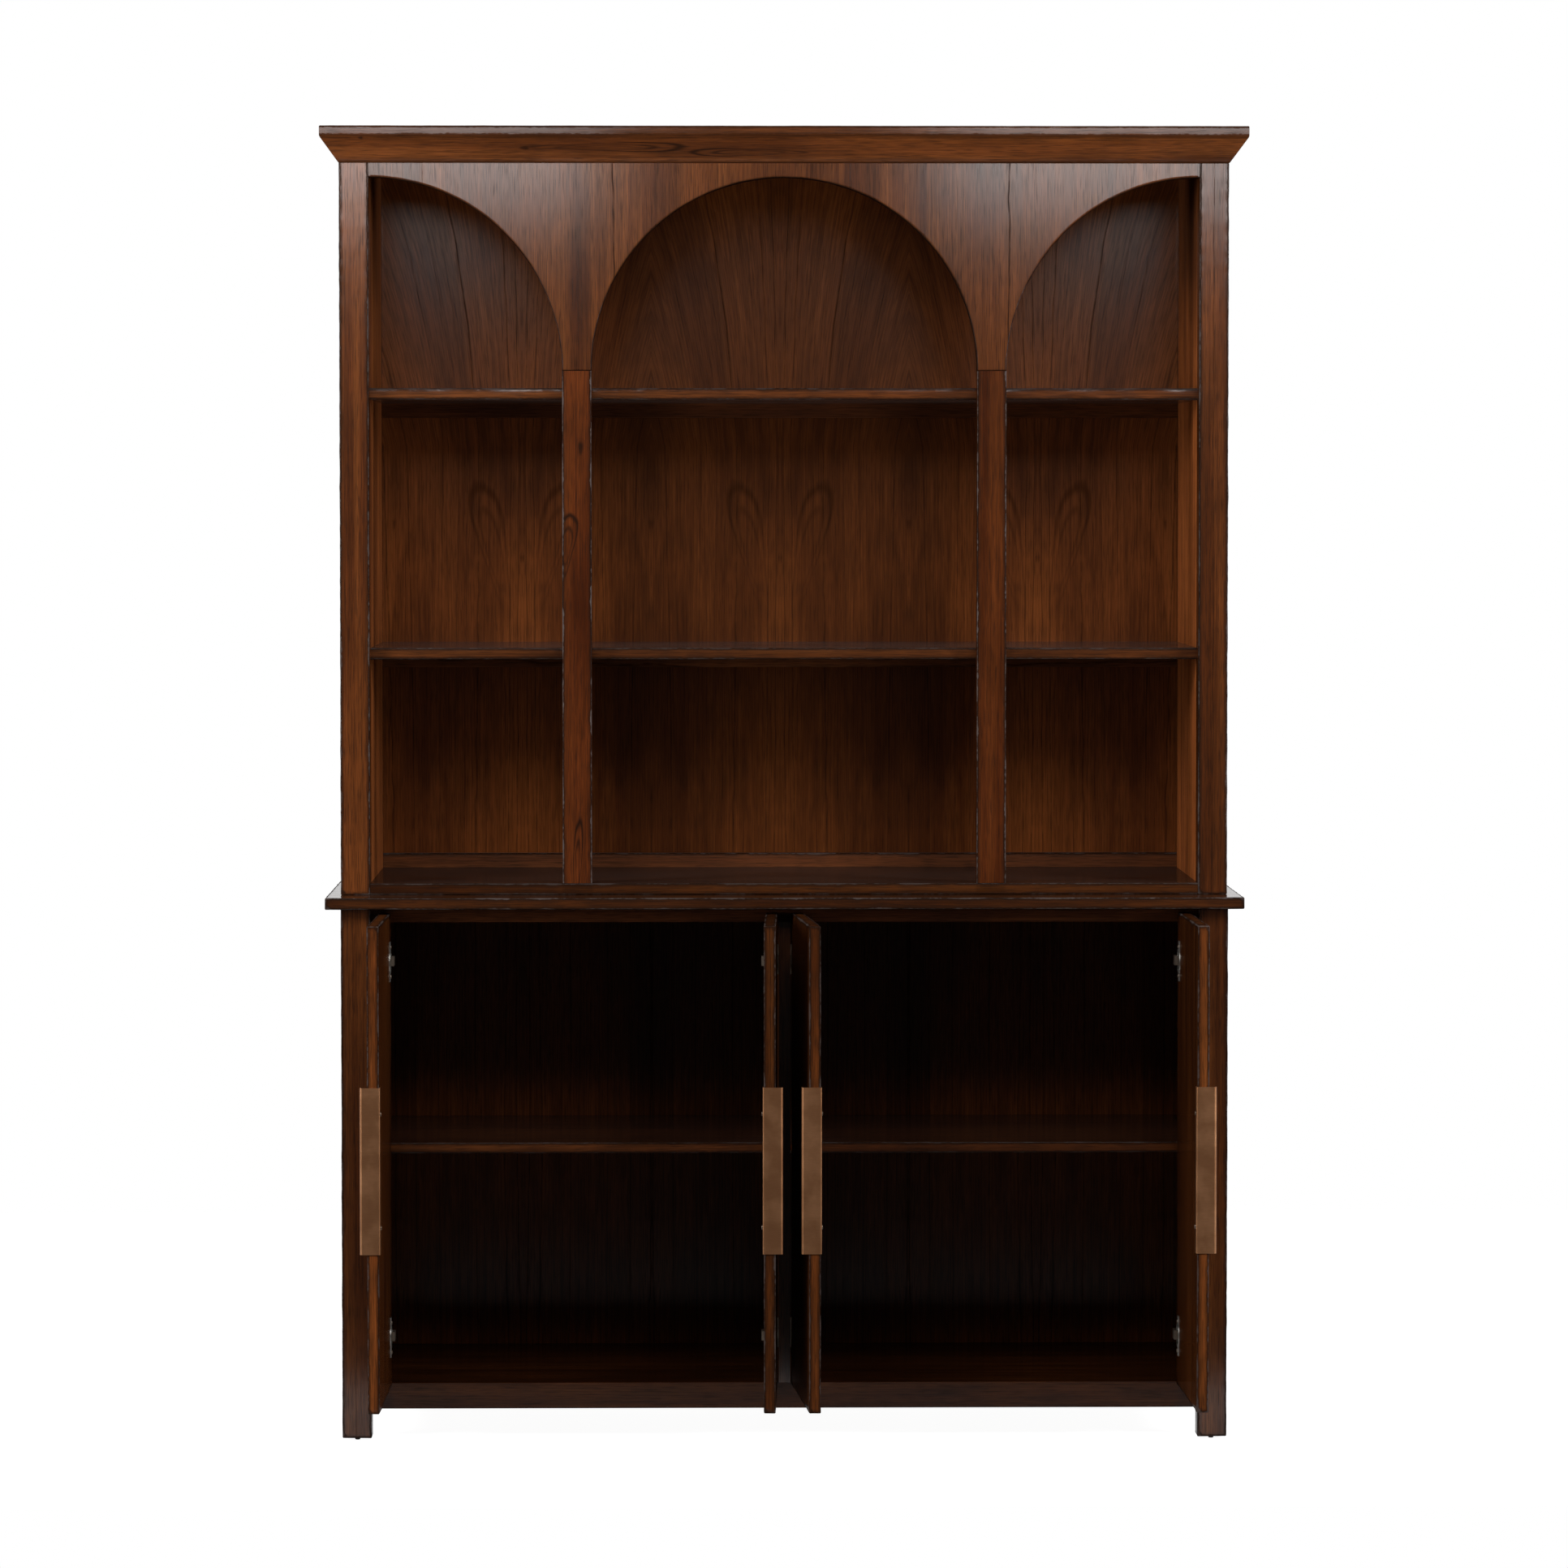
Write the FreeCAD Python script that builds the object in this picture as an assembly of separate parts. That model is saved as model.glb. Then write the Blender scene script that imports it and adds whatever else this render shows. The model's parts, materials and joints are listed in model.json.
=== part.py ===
import FreeCAD, Part
import math
import os

Vector = FreeCAD.Vector

# Frame while modelling: X to the right, Y from the front of the base to the back, Z up from the floor.
# All sizes are in millimetres, all angles in degrees.

# Whole cabinet: the hutch stands a little wider than the base, and back from its front
base_width = 1440.0
base_depth = 530.0
hutch_side_reach = 2.5
hutch_setback = 52.0

# Posts, panels and the shared softened edge
post_width = 48.0
post_depth = 42.0
side_panel_thickness = 19.0
back_panel_thickness = 10.0
edge_round = 2.0

# Base: heights above the floor and sections of its boards
base_height = 867.5
bottom_rail_height_above_floor = 48.0
bottom_rail_height = 42.0
top_rail_height = 24.0
rail_thickness = 20.0
floor_thickness = 19.0
floor_seat = 10.0
partition_thickness = 19.0
partition_core = 3.0

# Countertop
countertop_thickness = 19.0
countertop_front_overhang = 26.5
countertop_side_overhang = 24.5

# Loose shelves in the base and the pins under them
base_shelf_top = 481.0
base_shelf_thickness = 18.0
base_shelf_recess = 26.0
base_shelf_end_gap = 1.0
base_shelf_back_gap = 2.0
shelf_pin_radius = 2.5
shelf_pin_inset = 45.0
shelf_pad_length = 9.0
shelf_pad_width = 8.0
shelf_pad_thickness = 4.0
shelf_pin_clearance = 0.1

# Glides under the legs
glide_height = 4.5
glide_radius = 4.25
glide_round = 1.2
glide_spike_radius = 1.25
glide_spike_length = 14.0
glide_spike_clearance = 0.05

# Hutch: boards, the clear heights between them and the strips along the back
hutch_board_thickness = 19.0
lower_bay_height = 364.0
middle_bay_height = 403.9
upper_bay_height = 363.6
cleat_height = 24.0
cleat_thickness = 14.0

# Arches and mullions
face_depth = 28.0
mullion_width = 48.0
arch_crown_margin = 23.0

# Cornice
crown_height = 59.0
crown_projection = 30.0
crown_band_height = 17.0
crown_seat = 20.0
crown_round = 3.0
top_board_thickness = 19.0

# Dowels
dowel_radius = 4.0
dowel_skin = 7.0
dowel_in_board = 18.0
dowel_clearance = 0.1
dowel_end_gap = 0.5
shelf_dowel_inset = 80.0

# Doors
door_thickness = 19.0
door_top_gap = 8.5
door_rail_lap = 3.5
door_edge_clearance = 0.4
door_swing_clearance = 1.0

# How far each door stands open
left_outer_angle = 90.7
left_inner_angle = 88.7
right_inner_angle = 86.1
right_outer_angle = 91.1

# Bent edge pull
pull_length = 264.0
pull_drop = 1.0
pull_thickness = 1.6
pull_reach = 11.5
pull_return = 7.0
pull_flange = 14.0
pull_lip_round = 4.0
pull_flange_round = 2.4
pull_screw_end = 42.0
pull_meeting_clearance = 1.8

# Hinge: the pin's distance from the door's hinge edge, and the cup
hinge_top_distance = 78.0
hinge_bottom_distance = 83.0
hinge_pin_inset = 20.0
hinge_pin_radius = 1.5
hinge_pin_clearance = 0.05
cup_radius = 17.5
cup_depth = 12.0
cup_wall = 1.0
cup_bottom = 0.8
cup_fit = 0.1
cup_rim_width = 2.5
flange_thickness = 1.2
flange_length = 65.0
flange_width = 14.0
flange_screw_end = 8.5
flange_screw_edge = 4.5
lug_width = 7.0
lug_thickness = 3.0
lug_rise = 3.5
lug_gap = 0.2

# Hinge: the cranked arm and its mounting plate
arm_width = 15.0
arm_thickness = 2.5
arm_eye_radius = 2.8
arm_eye_clearance = 0.4
arm_cup_clearance = 2.2
arm_door_clearance = 2.8
arm_swing_clearance = 1.5
arm_foot_length = 40.0
plate_thickness = 2.0
plate_width = 16.0
plate_wing_length = 48.0
plate_wing_width = 12.0
plate_wing_offset = 14.0
plate_screw_end = 6.0
arm_screw_end = 7.0

# Screws
screw_radius = 1.6
screw_head_radius = 3.4
screw_head_height = 1.8
screw_grip = 8.0
screw_clearance = 0.05

# Shared cutting overrun, and the distance under which two places count as the same
overrun = 2.0
same_place = 0.001

# Shares used for places
screw_head_round_share = 0.4

# Places worked out from the sizes above
base_half = base_width / 2
base_opening_half = base_half - post_width
base_back_face = base_depth - back_panel_thickness
hutch_half = base_half + hutch_side_reach
hutch_opening_half = hutch_half - post_width
hutch_front = hutch_setback
hutch_floor = base_height + countertop_thickness
hutch_bottom_top = hutch_floor + hutch_board_thickness
lower_shelf_top = hutch_bottom_top + lower_bay_height + hutch_board_thickness
upper_shelf_top = lower_shelf_top + middle_bay_height + hutch_board_thickness
hutch_top = upper_shelf_top + upper_bay_height
overall_height = hutch_top + crown_height
face_back = hutch_front + face_depth
arch_radius = (hutch_opening_half * 2 - mullion_width * 2) / 4
arch_spring = hutch_top - arch_crown_margin - arch_radius
mullion_inner = arch_radius
mullion_outer = arch_radius + mullion_width

bottom_rail_top = bottom_rail_height_above_floor + bottom_rail_height
top_rail_bottom = base_height - top_rail_height
base_floor_bottom = bottom_rail_top - floor_thickness
partition_half = partition_thickness / 2

# The pin lies above the cup's bottom, and the cup is set so that the arm fits inside it
pin_to_door_back = cup_depth - cup_bottom - arm_eye_radius - arm_eye_clearance
hinge_pin_depth = door_thickness - pin_to_door_back
arm_crank = hinge_pin_inset + pin_to_door_back + flange_thickness + arm_door_clearance
cup_hollow_radius = cup_radius - cup_wall
cup_hollow_reach = math.sqrt(cup_hollow_radius ** 2 - (arm_width / 2) ** 2)
cup_inset = arm_crank + arm_thickness + arm_cup_clearance - cup_hollow_reach

swing_radius = math.hypot(hinge_pin_inset, pin_to_door_back)
door_edge_gap = math.hypot(hinge_pin_inset, hinge_pin_depth) - hinge_pin_inset + door_edge_clearance
rail_front = hinge_pin_depth + swing_radius + door_swing_clearance
rail_back = rail_front + rail_thickness
back_rail_front = base_back_face - rail_thickness
door_bottom = bottom_rail_top - door_rail_lap
door_top = base_height - door_top_gap
door_meeting_gap = pull_thickness * 2 + pull_meeting_clearance
door_width = (base_opening_half - door_edge_gap * 2 - door_meeting_gap) / 2
pull_middle = (door_bottom + door_top) / 2 - pull_drop
hinge_heights = [door_bottom + hinge_bottom_distance, door_top - hinge_top_distance]
arm_back = rail_front + arm_swing_clearance

# What enters the partition from both sides at one place leaves its core whole
partition_grip = (partition_thickness - partition_core) / 2

base_shelf_bottom = base_shelf_top - base_shelf_thickness
base_shelf_front = rail_front + base_shelf_recess
base_shelf_back = base_back_face - base_shelf_back_gap

# The doors: which way each runs from its hinge edge, where that edge is, how far the wall that
# carries the hinge stands from it, and how far the door is open
outer_wall = -door_edge_gap
inner_wall = partition_half - door_edge_gap
outer_edge = base_opening_half - door_edge_gap
doors = [
    {"name": "left_outer", "way": 1, "edge": -outer_edge, "wall": outer_wall, "angle": left_outer_angle},
    {"name": "left_inner", "way": -1, "edge": -door_edge_gap, "wall": inner_wall, "angle": left_inner_angle},
    {"name": "right_inner", "way": 1, "edge": door_edge_gap, "wall": inner_wall, "angle": right_inner_angle},
    {"name": "right_outer", "way": -1, "edge": outer_edge, "wall": outer_wall, "angle": right_outer_angle},
]

along_x = Vector(1, 0, 0)
along_y = Vector(0, 1, 0)
along_z = Vector(0, 0, 1)


def block(x_low, x_high, y_low, y_high, z_low, z_high):
    return Part.makeBox(x_high - x_low, y_high - y_low, z_high - z_low, Vector(x_low, y_low, z_low))


def mirrored(shape):
    return shape.mirror(Vector(0, 0, 0), along_x)


def prism(points, direction):
    # A closed outline of points, pushed out along a direction
    return Part.Face(Part.makePolygon(points + points[:1])).extrude(direction)


def rounded(shape, radius, sharp_sides=""):
    # Rounds the edges of a box, except those that lie on a side that meets another piece
    bounds = shape.BoundBox
    places = {
        "left": ("x", bounds.XMin),
        "right": ("x", bounds.XMax),
        "front": ("y", bounds.YMin),
        "back": ("y", bounds.YMax),
        "bottom": ("z", bounds.ZMin),
        "top": ("z", bounds.ZMax),
    }

    def lies_on(edge, side):
        axis, place = places[side]
        return all(abs(getattr(vertex.Point, axis) - place) < same_place for vertex in edge.Vertexes)

    sharp = sharp_sides.split()
    edges = [edge for edge in shape.Edges if not any(lies_on(edge, side) for side in sharp)]
    return shape.makeFillet(radius, edges)


def upright_edges_at(shape, x, y):
    # The edges along Z that stand at one place
    found = []
    for edge in shape.Edges:
        middle = edge.CenterOfMass
        is_upright = abs(edge.BoundBox.XLength) < same_place and abs(edge.BoundBox.YLength) < same_place
        if is_upright and abs(middle.x - x) < same_place and abs(middle.y - y) < same_place:
            found.append(edge)
    return found


# Dowels

def dowel(centre, direction, before, after, spare_radius=0, spare_end=0):
    # A rod through a joint: before and after are its lengths on the two sides of the joint
    start = centre - direction * (before + spare_end)
    return Part.makeCylinder(dowel_radius + spare_radius, before + after + spare_end * 2, start, direction)


def dowel_places():
    # Each place: the joint, the way out of the first piece, the length in it and in the second piece
    places = []
    wall = hutch_opening_half
    in_wall = side_panel_thickness - dowel_skin
    face_middle = hutch_front + face_depth / 2
    crown_middle = hutch_top - arch_crown_margin / 2
    mullion_middle = (mullion_inner + mullion_outer) / 2
    post_middle = hutch_half - post_width / 2
    for way in (-1, 1):
        outward = along_x * way
        for level in (hutch_bottom_top, lower_shelf_top, upper_shelf_top):
            height = level - hutch_board_thickness / 2
            for depth in (face_back + shelf_dowel_inset, base_back_face - shelf_dowel_inset):
                places.append((Vector(wall * way, depth, height), outward, dowel_in_board, in_wall))
        arch_end = Vector(wall * way, face_middle, crown_middle)
        places.append((arch_end, outward, dowel_in_board, dowel_in_board))
        mullion_foot = Vector(mullion_middle * way, face_middle, hutch_bottom_top)
        mullion_head = Vector(mullion_middle * way, face_middle, arch_spring)
        places.append((mullion_foot, along_z, hutch_board_thickness - dowel_skin, dowel_in_board))
        places.append((mullion_head, along_z, dowel_in_board, dowel_in_board))
        for depth in (hutch_front + post_depth / 2, base_depth - post_depth / 2):
            post_foot = Vector(post_middle * way, depth, hutch_floor)
            places.append((post_foot, along_z, countertop_thickness - dowel_skin, dowel_in_board))
    return places


def drilled(shape, cutters):
    # Takes away the cutters that reach into the shape
    near = [cutter for cutter in cutters if shape.BoundBox.intersect(cutter.BoundBox)]
    return shape.cut(near) if near else shape


# Cornice

def crown_profile():
    # Corners of the cornice's section as distance out from the body and height
    low = hutch_top
    high = overall_height
    band = overall_height - crown_band_height
    out = crown_projection
    return [(-crown_seat, low), (0, low), (out, band), (out, high), (-crown_seat, high)]


def crown_mitre(inner_side):
    # Wedge that trims a corner: the part of the corner square behind or in front of its diagonal
    inner_x = hutch_half - crown_seat - overrun
    outer_x = hutch_half + crown_projection + overrun
    back_y = hutch_front + crown_seat + overrun
    front_y = hutch_front - crown_projection - overrun
    third = (inner_x, front_y) if inner_side else (outer_x, back_y)
    corners = [(inner_x, back_y), (outer_x, front_y), third]
    low = hutch_top - overrun
    points = [Vector(x, y, low) for x, y in corners]
    return prism(points, along_z * (crown_height + overrun * 2))


def crown_rounded(length, axis):
    # The upper and outer long edges of a straight run of cornice
    edges = []
    for edge in length.Edges:
        middle = edge.CenterOfMass
        outward = hutch_front - middle.y if axis == "x" else middle.x - hutch_half
        on_band = abs(outward - crown_projection) < same_place
        is_long = edge.Length > crown_height + crown_projection + crown_seat
        if on_band and is_long:
            edges.append(edge)
    return length.makeFillet(crown_round, edges)


def make_crown(pieces):
    reach = hutch_half + crown_projection
    section = [Vector(-reach, hutch_front - out, height) for out, height in crown_profile()]
    front = crown_rounded(prism(section, along_x * (reach * 2)), "x")
    behind_diagonal = crown_mitre(False)
    pieces["crown_front"] = front.cut([behind_diagonal, mirrored(behind_diagonal)])
    start = hutch_front - crown_projection
    section = [Vector(hutch_half + out, start, height) for out, height in crown_profile()]
    side = crown_rounded(prism(section, along_y * (base_depth - start)), "y")
    pieces["crown_right"] = side.cut(crown_mitre(True))
    pieces["crown_left"] = mirrored(pieces["crown_right"])


# Hutch

def make_hutch(pieces, cutters):
    top = block(-hutch_half + crown_seat, hutch_half - crown_seat, hutch_front + crown_seat, base_depth,
                hutch_top, hutch_top + top_board_thickness)
    pieces["hutch_top_board"] = top

    back_post_front = base_depth - post_depth
    front_post = block(hutch_opening_half, hutch_half, hutch_front, hutch_front + post_depth,
                       hutch_floor, hutch_top)
    front_post = drilled(rounded(front_post, edge_round, "top back"), cutters)
    back_post = block(hutch_opening_half, hutch_half, back_post_front, base_depth, hutch_floor, hutch_top)
    back_post = drilled(rounded(back_post, edge_round, "top bottom front left"), cutters)
    panel = block(hutch_opening_half, hutch_opening_half + side_panel_thickness,
                  hutch_front + post_depth, back_post_front, hutch_floor, hutch_top)
    panel = drilled(panel, cutters)
    for side, turn in (("right", lambda shape: shape), ("left", mirrored)):
        pieces[f"hutch_{side}_front_post"] = turn(front_post)
        pieces[f"hutch_{side}_back_post"] = turn(back_post)
        pieces[f"hutch_{side}_side_panel"] = turn(panel)

    wide = hutch_opening_half
    pieces["hutch_back_panel"] = block(-wide, wide, base_back_face, base_depth, hutch_floor, hutch_top)
    bottom = block(-wide, wide, hutch_front, base_back_face, hutch_floor, hutch_bottom_top)
    pieces["hutch_bottom_board"] = drilled(rounded(bottom, edge_round, "left right back"), cutters)
    for name, level in (("lower_shelf", lower_shelf_top), ("upper_shelf", upper_shelf_top)):
        under = level - hutch_board_thickness
        shelf = block(-wide, wide, face_back, base_back_face, under, level)
        pieces[name] = drilled(rounded(shelf, edge_round, "left right back"), cutters)
        pieces[f"{name}_cleat"] = make_cleat(under - cleat_height)
    pieces["hutch_bottom_cleat"] = make_cleat(hutch_bottom_top)

    mullion = block(mullion_inner, mullion_outer, hutch_front, face_back, hutch_bottom_top, arch_spring)
    mullion = drilled(rounded(mullion, edge_round, "top bottom back"), cutters)
    pieces["right_mullion"] = mullion
    pieces["left_mullion"] = mirrored(mullion)
    pieces["arch_panel"] = drilled(make_arches(), cutters)


def make_cleat(bottom):
    wide = hutch_opening_half
    front = base_back_face - cleat_thickness
    return block(-wide, wide, front, base_back_face, bottom, bottom + cleat_height)


def make_arches():
    # A board with one full arch in the middle and half an arch at each post
    wide = hutch_opening_half
    panel = block(-wide, wide, hutch_front, face_back, arch_spring, hutch_top)
    for x in (-wide, 0, wide):
        start = Vector(x, hutch_front - overrun, arch_spring)
        panel = panel.cut(Part.makeCylinder(arch_radius, face_depth + overrun * 2, start, along_y))
    front_arcs = []
    for edge in panel.Edges:
        on_front = abs(edge.BoundBox.YMax - hutch_front) < same_place
        if on_front and edge.Curve.TypeId == "Part::GeomCircle":
            front_arcs.append(edge)
    return panel.makeFillet(edge_round, front_arcs)


# Base

def make_base(pieces, cutters):
    top = block(-base_half - countertop_side_overhang, base_half + countertop_side_overhang,
                -countertop_front_overhang, base_depth, base_height, hutch_floor)
    pieces["countertop"] = drilled(rounded(top, edge_round), cutters)

    back_leg_front = base_depth - post_depth
    front_leg = block(base_opening_half, base_half, 0, post_depth, glide_height, base_height)
    front_leg = drilled(rounded(front_leg, edge_round, "top back"), cutters)
    back_leg = block(base_opening_half, base_half, back_leg_front, base_depth, glide_height, base_height)
    back_leg = drilled(rounded(back_leg, edge_round, "top front left"), cutters)
    panel = block(base_opening_half, base_opening_half + side_panel_thickness, post_depth, back_leg_front,
                  bottom_rail_height_above_floor, base_height)
    panel = drilled(panel, cutters)
    for side, turn in (("right", lambda shape: shape), ("left", mirrored)):
        pieces[f"{side}_front_leg"] = turn(front_leg)
        pieces[f"{side}_back_leg"] = turn(back_leg)
        pieces[f"base_{side}_side_panel"] = turn(panel)

    wide = base_opening_half
    low = bottom_rail_height_above_floor
    pieces["base_back_panel"] = block(-wide, wide, base_back_face, base_depth, low, base_height)
    high = top_rail_bottom
    pieces["top_front_rail"] = block(-wide, wide, rail_front, rail_back, high, base_height)
    pieces["top_back_rail"] = block(-wide, wide, back_rail_front, base_back_face, high, base_height)

    floor_front = rail_back - floor_seat
    floor_back = back_rail_front + floor_seat
    floor = block(-wide, wide, floor_front, floor_back, base_floor_bottom, bottom_rail_top)
    pieces["base_floor"] = floor
    front_rail = block(-wide, wide, rail_front, rail_back, low, bottom_rail_top)
    pieces["bottom_front_rail"] = rounded(front_rail, edge_round, "left right back top").cut(floor)
    back_rail = block(-wide, wide, back_rail_front, base_back_face, low, bottom_rail_top)
    pieces["bottom_back_rail"] = back_rail.cut(floor)

    divider = block(-partition_half, partition_half, rail_front, base_back_face,
                    bottom_rail_top, base_height)
    divider = divider.cut([pieces["top_front_rail"], pieces["top_back_rail"]])
    pieces["partition"] = drilled(divider, cutters)

    shelf = block(partition_half + base_shelf_end_gap, base_opening_half - base_shelf_end_gap,
                  base_shelf_front, base_shelf_back, base_shelf_bottom, base_shelf_top)
    shelf = rounded(shelf, edge_round, "left right back")
    pieces["right_shelf"] = shelf
    pieces["left_shelf"] = mirrored(shelf)


def shelf_pin(spare=0):
    # A peg in a wall at x = 0 with a flat pad that the shelf lies on
    root = Vector(0, 0, base_shelf_bottom - shelf_pad_thickness / 2)
    peg = Part.makeCylinder(shelf_pin_radius + spare, partition_grip + spare, root, -along_x)
    if spare:
        return peg
    pad = block(0, shelf_pad_length, -shelf_pad_width / 2, shelf_pad_width / 2,
                base_shelf_bottom - shelf_pad_thickness, base_shelf_bottom)
    return peg.fuse(pad).removeSplitter()


def shelf_pins(spare=0):
    pins = []
    facing_out = shelf_pin(spare)
    for depth in (base_shelf_front + shelf_pin_inset, base_shelf_back - shelf_pin_inset):
        right_pair = [
            facing_out.translated(Vector(partition_half, depth, 0)),
            mirrored(facing_out).translated(Vector(base_opening_half, depth, 0)),
        ]
        pins += right_pair + [mirrored(pin) for pin in right_pair]
    return pins


def glides(spare=0):
    made = []
    for x in (-base_half + post_width / 2, base_half - post_width / 2):
        for y in (post_depth / 2, base_depth - post_depth / 2):
            spike = Part.makeCylinder(glide_spike_radius + spare, glide_height + glide_spike_length + spare,
                                      Vector(x, y, 0), along_z)
            if spare:
                made.append(spike)
                continue
            foot = Part.makeCylinder(glide_radius, glide_height, Vector(x, y, 0), along_z)
            rim = [edge for edge in foot.Edges if abs(edge.BoundBox.ZMax) < same_place]
            spike_above = spike.cut(foot)
            made.append(foot.makeFillet(glide_round, rim).fuse(spike_above).removeSplitter())
    return made


# Screws

def screw(place, direction, length, spare=0):
    # A screw whose head sits at place; direction points into the work
    shank = Part.makeCylinder(screw_radius + spare, length + spare, place, direction)
    if spare:
        return shank
    head = Part.makeCylinder(screw_head_radius, screw_head_height, place, -direction)
    far = place - direction * screw_head_height
    rim = [edge for edge in head.Edges
           if edge.CenterOfMass.distanceToPoint(far) < same_place and len(edge.Vertexes) == 1]
    head = head.makeFillet(screw_head_height * screw_head_round_share, rim)
    return head.fuse(shank).removeSplitter()


# Doors, modelled shut, with the hinge edge at x = 0 and the front face at y = 0

def pull_screws(spare=0):
    made = []
    x = door_width - pull_flange / 2
    spread = pull_length / 2 - pull_screw_end
    for height in (pull_middle - spread, pull_middle + spread):
        place = Vector(x, door_thickness + pull_thickness, height)
        made.append(screw(place, -along_y, pull_thickness + screw_grip, spare))
    return made


def cup_screws(spare=0):
    made = []
    x = cup_inset + flange_width - flange_screw_edge
    spread = flange_length / 2 - flange_screw_end
    for middle in hinge_heights:
        for height in (middle - spread, middle + spread):
            place = Vector(x, door_thickness + flange_thickness, height)
            made.append(screw(place, -along_y, flange_thickness + screw_grip, spare))
    return made


def door_slab():
    slab = rounded(block(0, door_width, 0, door_thickness, door_bottom, door_top), edge_round)
    cutters = pull_screws(screw_clearance) + cup_screws(screw_clearance)
    for height in hinge_heights:
        bottom = Vector(cup_inset, door_thickness - cup_depth - cup_fit, height)
        depth = cup_depth + cup_fit + overrun
        cutters.append(Part.makeCylinder(cup_radius + cup_fit, depth, bottom, along_y))
    return slab.cut(cutters)


def door_pull():
    # A strip bent round the door's free edge: a flange behind, a plate on the edge and a lip in front
    edge = door_width
    outside = door_width + pull_thickness
    back = door_thickness
    low = pull_middle - pull_length / 2
    corners = [
        (edge - pull_flange, back),
        (edge, back),
        (edge, -pull_reach + pull_thickness),
        (edge - pull_return, -pull_reach + pull_thickness),
        (edge - pull_return, -pull_reach),
        (outside, -pull_reach),
        (outside, back + pull_thickness),
        (edge - pull_flange, back + pull_thickness),
    ]
    strip = prism([Vector(x, y, low) for x, y in corners], along_z * pull_length)
    bends = upright_edges_at(strip, outside, back + pull_thickness)
    strip = strip.makeFillet(pull_flange_round, bends)
    strip = strip.makeFillet(pull_lip_round, upright_edges_at(strip, outside, -pull_reach))
    inner_bend = upright_edges_at(strip, edge, -pull_reach + pull_thickness)
    strip = strip.makeFillet(pull_lip_round - pull_thickness, inner_bend)
    return strip.cut(pull_screws(screw_clearance))


def hinge_cup(height):
    # A cup let into the door, with a flange on the door's back and two lugs for the pin
    bottom = door_thickness - cup_depth
    face = door_thickness
    mouth = Vector(cup_inset, face, height)
    shell = Part.makeCylinder(cup_radius, cup_depth, Vector(cup_inset, bottom, height), along_y)
    rim = Part.makeCylinder(cup_radius + cup_rim_width, flange_thickness, mouth, along_y)
    ears = block(cup_inset, cup_inset + flange_width, face, face + flange_thickness,
                 height - flange_length / 2, height + flange_length / 2)
    hollow = Part.makeCylinder(cup_hollow_radius, cup_depth + overrun,
                               Vector(cup_inset, bottom + cup_bottom, height), along_y)
    cup = shell.fuse([rim, ears]).removeSplitter().cut(hollow)
    lug_low = arm_width / 2 + lug_gap
    for low in (height + lug_low, height - lug_low - lug_thickness):
        lug = block(hinge_pin_inset - lug_width / 2, hinge_pin_inset + lug_width / 2,
                    bottom, hinge_pin_depth + lug_rise, low, low + lug_thickness)
        cup = cup.fuse(lug)
    return cup.removeSplitter().cut([hinge_pin(height, hinge_pin_clearance)] + cup_screws(screw_clearance))


def hinge_pin(height, spare=0):
    half = arm_width / 2 + lug_gap + lug_thickness
    return Part.makeCylinder(hinge_pin_radius + spare, (half + spare) * 2,
                             Vector(hinge_pin_inset, hinge_pin_depth, height - half - spare), along_z)


# Cabinet side of the hinge, in the same place as the shut door; wall is where the carrying face stands

def hinge_arm(wall, height):
    # A cranked strip: out of the cup, back past the swinging edge of the door, then along the plate
    strip = arm_thickness
    pin_x = hinge_pin_inset
    pin_y = hinge_pin_depth
    foot = wall + plate_thickness
    end = arm_back + arm_foot_length
    corners = [
        (pin_x, pin_y - strip / 2),
        (arm_crank + strip, pin_y - strip / 2),
        (arm_crank + strip, arm_back + strip),
        (foot + strip, arm_back + strip),
        (foot + strip, end),
        (foot, end),
        (foot, arm_back),
        (arm_crank, arm_back),
        (arm_crank, pin_y + strip / 2),
        (pin_x, pin_y + strip / 2),
    ]
    low = height - arm_width / 2
    arm = prism([Vector(x, y, low) for x, y in corners], along_z * arm_width)
    eye = Part.makeCylinder(arm_eye_radius, arm_width, Vector(pin_x, pin_y, low), along_z)
    arm = arm.fuse(eye).removeSplitter()
    return arm.cut([hinge_pin(height)] + plate_screws(wall, height, screw_clearance))


def hinge_plate(wall, height):
    # A cross-shaped plate on the cabinet wall
    out = wall + plate_thickness
    stem = block(wall, out, arm_back, arm_back + arm_foot_length,
                 height - plate_width / 2, height + plate_width / 2)
    wing_front = arm_back + plate_wing_offset
    wings = block(wall, out, wing_front, wing_front + plate_wing_width,
                  height - plate_wing_length / 2, height + plate_wing_length / 2)
    return stem.fuse(wings).removeSplitter().cut(plate_screws(wall, height, screw_clearance))


def plate_screws(wall, height, spare=0):
    wing_y = arm_back + plate_wing_offset + plate_wing_width / 2
    surface = wall + plate_thickness
    length = plate_thickness + partition_grip
    spread = plate_wing_length / 2 - plate_screw_end
    made = []
    for z in (height - spread, height + spread):
        made.append(screw(Vector(surface, wing_y, z), -along_x, length, spare))
    top = Vector(surface + arm_thickness, arm_back + arm_foot_length - arm_screw_end, height)
    made.append(screw(top, -along_x, length + arm_thickness, spare))
    return made


def placed(shape, door):
    # From the door's own frame to the cabinet, still shut
    turned = shape if door["way"] > 0 else mirrored(shape)
    return turned.translated(Vector(door["edge"], 0, 0))


def pin_place(door):
    return Vector(door["edge"] + door["way"] * hinge_pin_inset, hinge_pin_depth, 0)


def swung(shape, door):
    # Opened to the door's own angle about its hinge pins
    return placed(shape, door).rotated(pin_place(door), along_z, -door["way"] * door["angle"])


def wall_cutters():
    # Holes for the hinge screws in whatever carries the plates
    cutters = []
    for door in doors:
        for height in hinge_heights:
            cutters += [placed(hole, door) for hole in plate_screws(door["wall"], height, screw_clearance)]
    return cutters


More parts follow.
